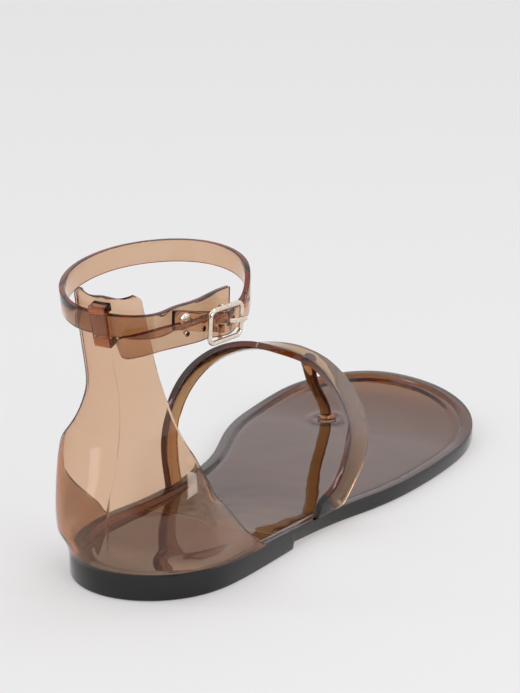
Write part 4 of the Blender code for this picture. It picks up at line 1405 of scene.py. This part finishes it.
def toePath():
    rows = []
    for side, face in ((1, 0.0), (-1, 180.0)):
        x = edgeX(side, toeStrap["landing"]) - side * toeStrap["thick"] / 2
        z = topHeight(toeStrap["landing"]) + band["gap"]
        rows.append([x, toeStrap["landing"] * sole["length"], z, face])
    middle = [
        [side * sole["ballWidth"], along * sole["length"], rise * toeStrap["instep"], face]
        for side, along, rise, face in toeStrap["path"]
    ]
    values = np.array([rows[0]] + middle + [rows[1]])
    steps = np.linalg.norm(np.diff(values[:, :3], axis=0), axis=1)
    lengths = np.concatenate([[0.0], np.cumsum(steps)])
    return smoothLine(lengths, values), float(lengths[-1])


toeLine, toeEnd = toePath()


def toePlace(length):
    value = toeLine(length)
    low = max(length - runStep, 0.0)
    high = min(length + runStep, toeEnd)
    run = (Vector(toeLine(high)[:3]) - Vector(toeLine(low)[:3])).normalized()
    angle = math.radians(float(value[3]))
    outward = Vector((math.cos(angle), 0.0, math.sin(angle)))
    outward = (outward - run * outward.dot(run)).normalized()
    return Vector(value[:3]), run.cross(outward), outward, run


def toeStrapParts():
    rings = []
    count = toeStrap["stations"]
    for i in range(count + 1):
        length = toeEnd * i / count
        centre, across, outward, run = toePlace(length)
        near = min(length, toeEnd - length)
        width = toeStrap["width"]
        if length < toeEnd / 2:
            width *= 1 + (toeStrap["footFlare"] - 1) * max(1 - near / toeStrap["flareReach"], 0.0) ** 1.5
        if i in (0, count):
            across = Vector((0, 1, 0)) * (1 if across.y > 0 else -1)
            outward = Vector((1 if i == 0 else -1, 0, 0))
        ring = roundedSection(centre, across, outward, width, toeStrap["thick"], toeStrap["round"], 5)
        for point in ring:
            floor = topHeight(point.y / sole["length"]) - toeStrap["sunk"] + near / 4
            if i in (0, count) or point.z < floor:
                point.z = floor
        rings.append(ring)
    return loftParts(rings)


def postParts():  # from inside the strap down to its round foot on the footbed
    footX, footY = sole["postAt"]
    front = (footY + post["foot"] / 2) / sole["length"]
    floor = topHeight(front) - sole["footbedDepth"] + post["seat"]
    top = min(np.linspace(0, toeEnd, 400), key=lambda l: abs(toeLine(l)[0] - (footX + post["headAside"])))
    centre, across, outward, run = toePlace(float(top))
    head = centre - outward * post["headSunk"]
    foot = Vector((footX, footY, 0))
    back, up = post["aboveFoot"]
    line = smoothLine(post["steps"], [
        [*head],
        [*(head + (foot - head) * post["bowAt"] + Vector(post["bow"]))],
        [footX, footY + back, floor + up],
        [footX, footY, floor],
    ])
    swellBy, swellTo = post["headSwell"]
    startSize, startTo = post["headStart"]
    turnFrom, turnRun = post["upright"]
    rings = []
    for i in range(33):
        share = post["tallShare"] * i / 32
        place = Vector(line(share))
        swell = 1 + swellBy * max(1 - share / swellTo, 0.0) ** 1.5
        swell *= startSize + (1 - startSize) * ease(share / startTo)
        down = (Vector(line(share + 0.02)) - Vector(line(max(share - 0.02, 0)))).normalized()
        level = ease((share - turnFrom) / turnRun)
        down = (down * (1 - level) + Vector((0, 0, -1)) * level).normalized()
        side = Vector((1, 0, 0))
        side = (side - down * side.dot(down)).normalized()
        wide = side * post["width"] / 2 * swell
        deep = down.cross(side) * post["thick"] / 2 * min(swell, 1.0)
        rings.append([place + wide * c + deep * s for c, s in circle(32)])
    for share, rise in post["footRings"]:
        reach = post["foot"] / 2 * share
        rings.append([Vector((footX + reach * c, footY - reach * s, floor + rise)) for c, s in circle(32)])
    return loftParts(rings)


toePiece = joinedPiece(
    "toeStrapWithPost", toeStrapParts(), [postParts()], finishes["strap"], ["toe_strap"]
)
print("toe strap:", len(toePiece.data.polygons), "faces")
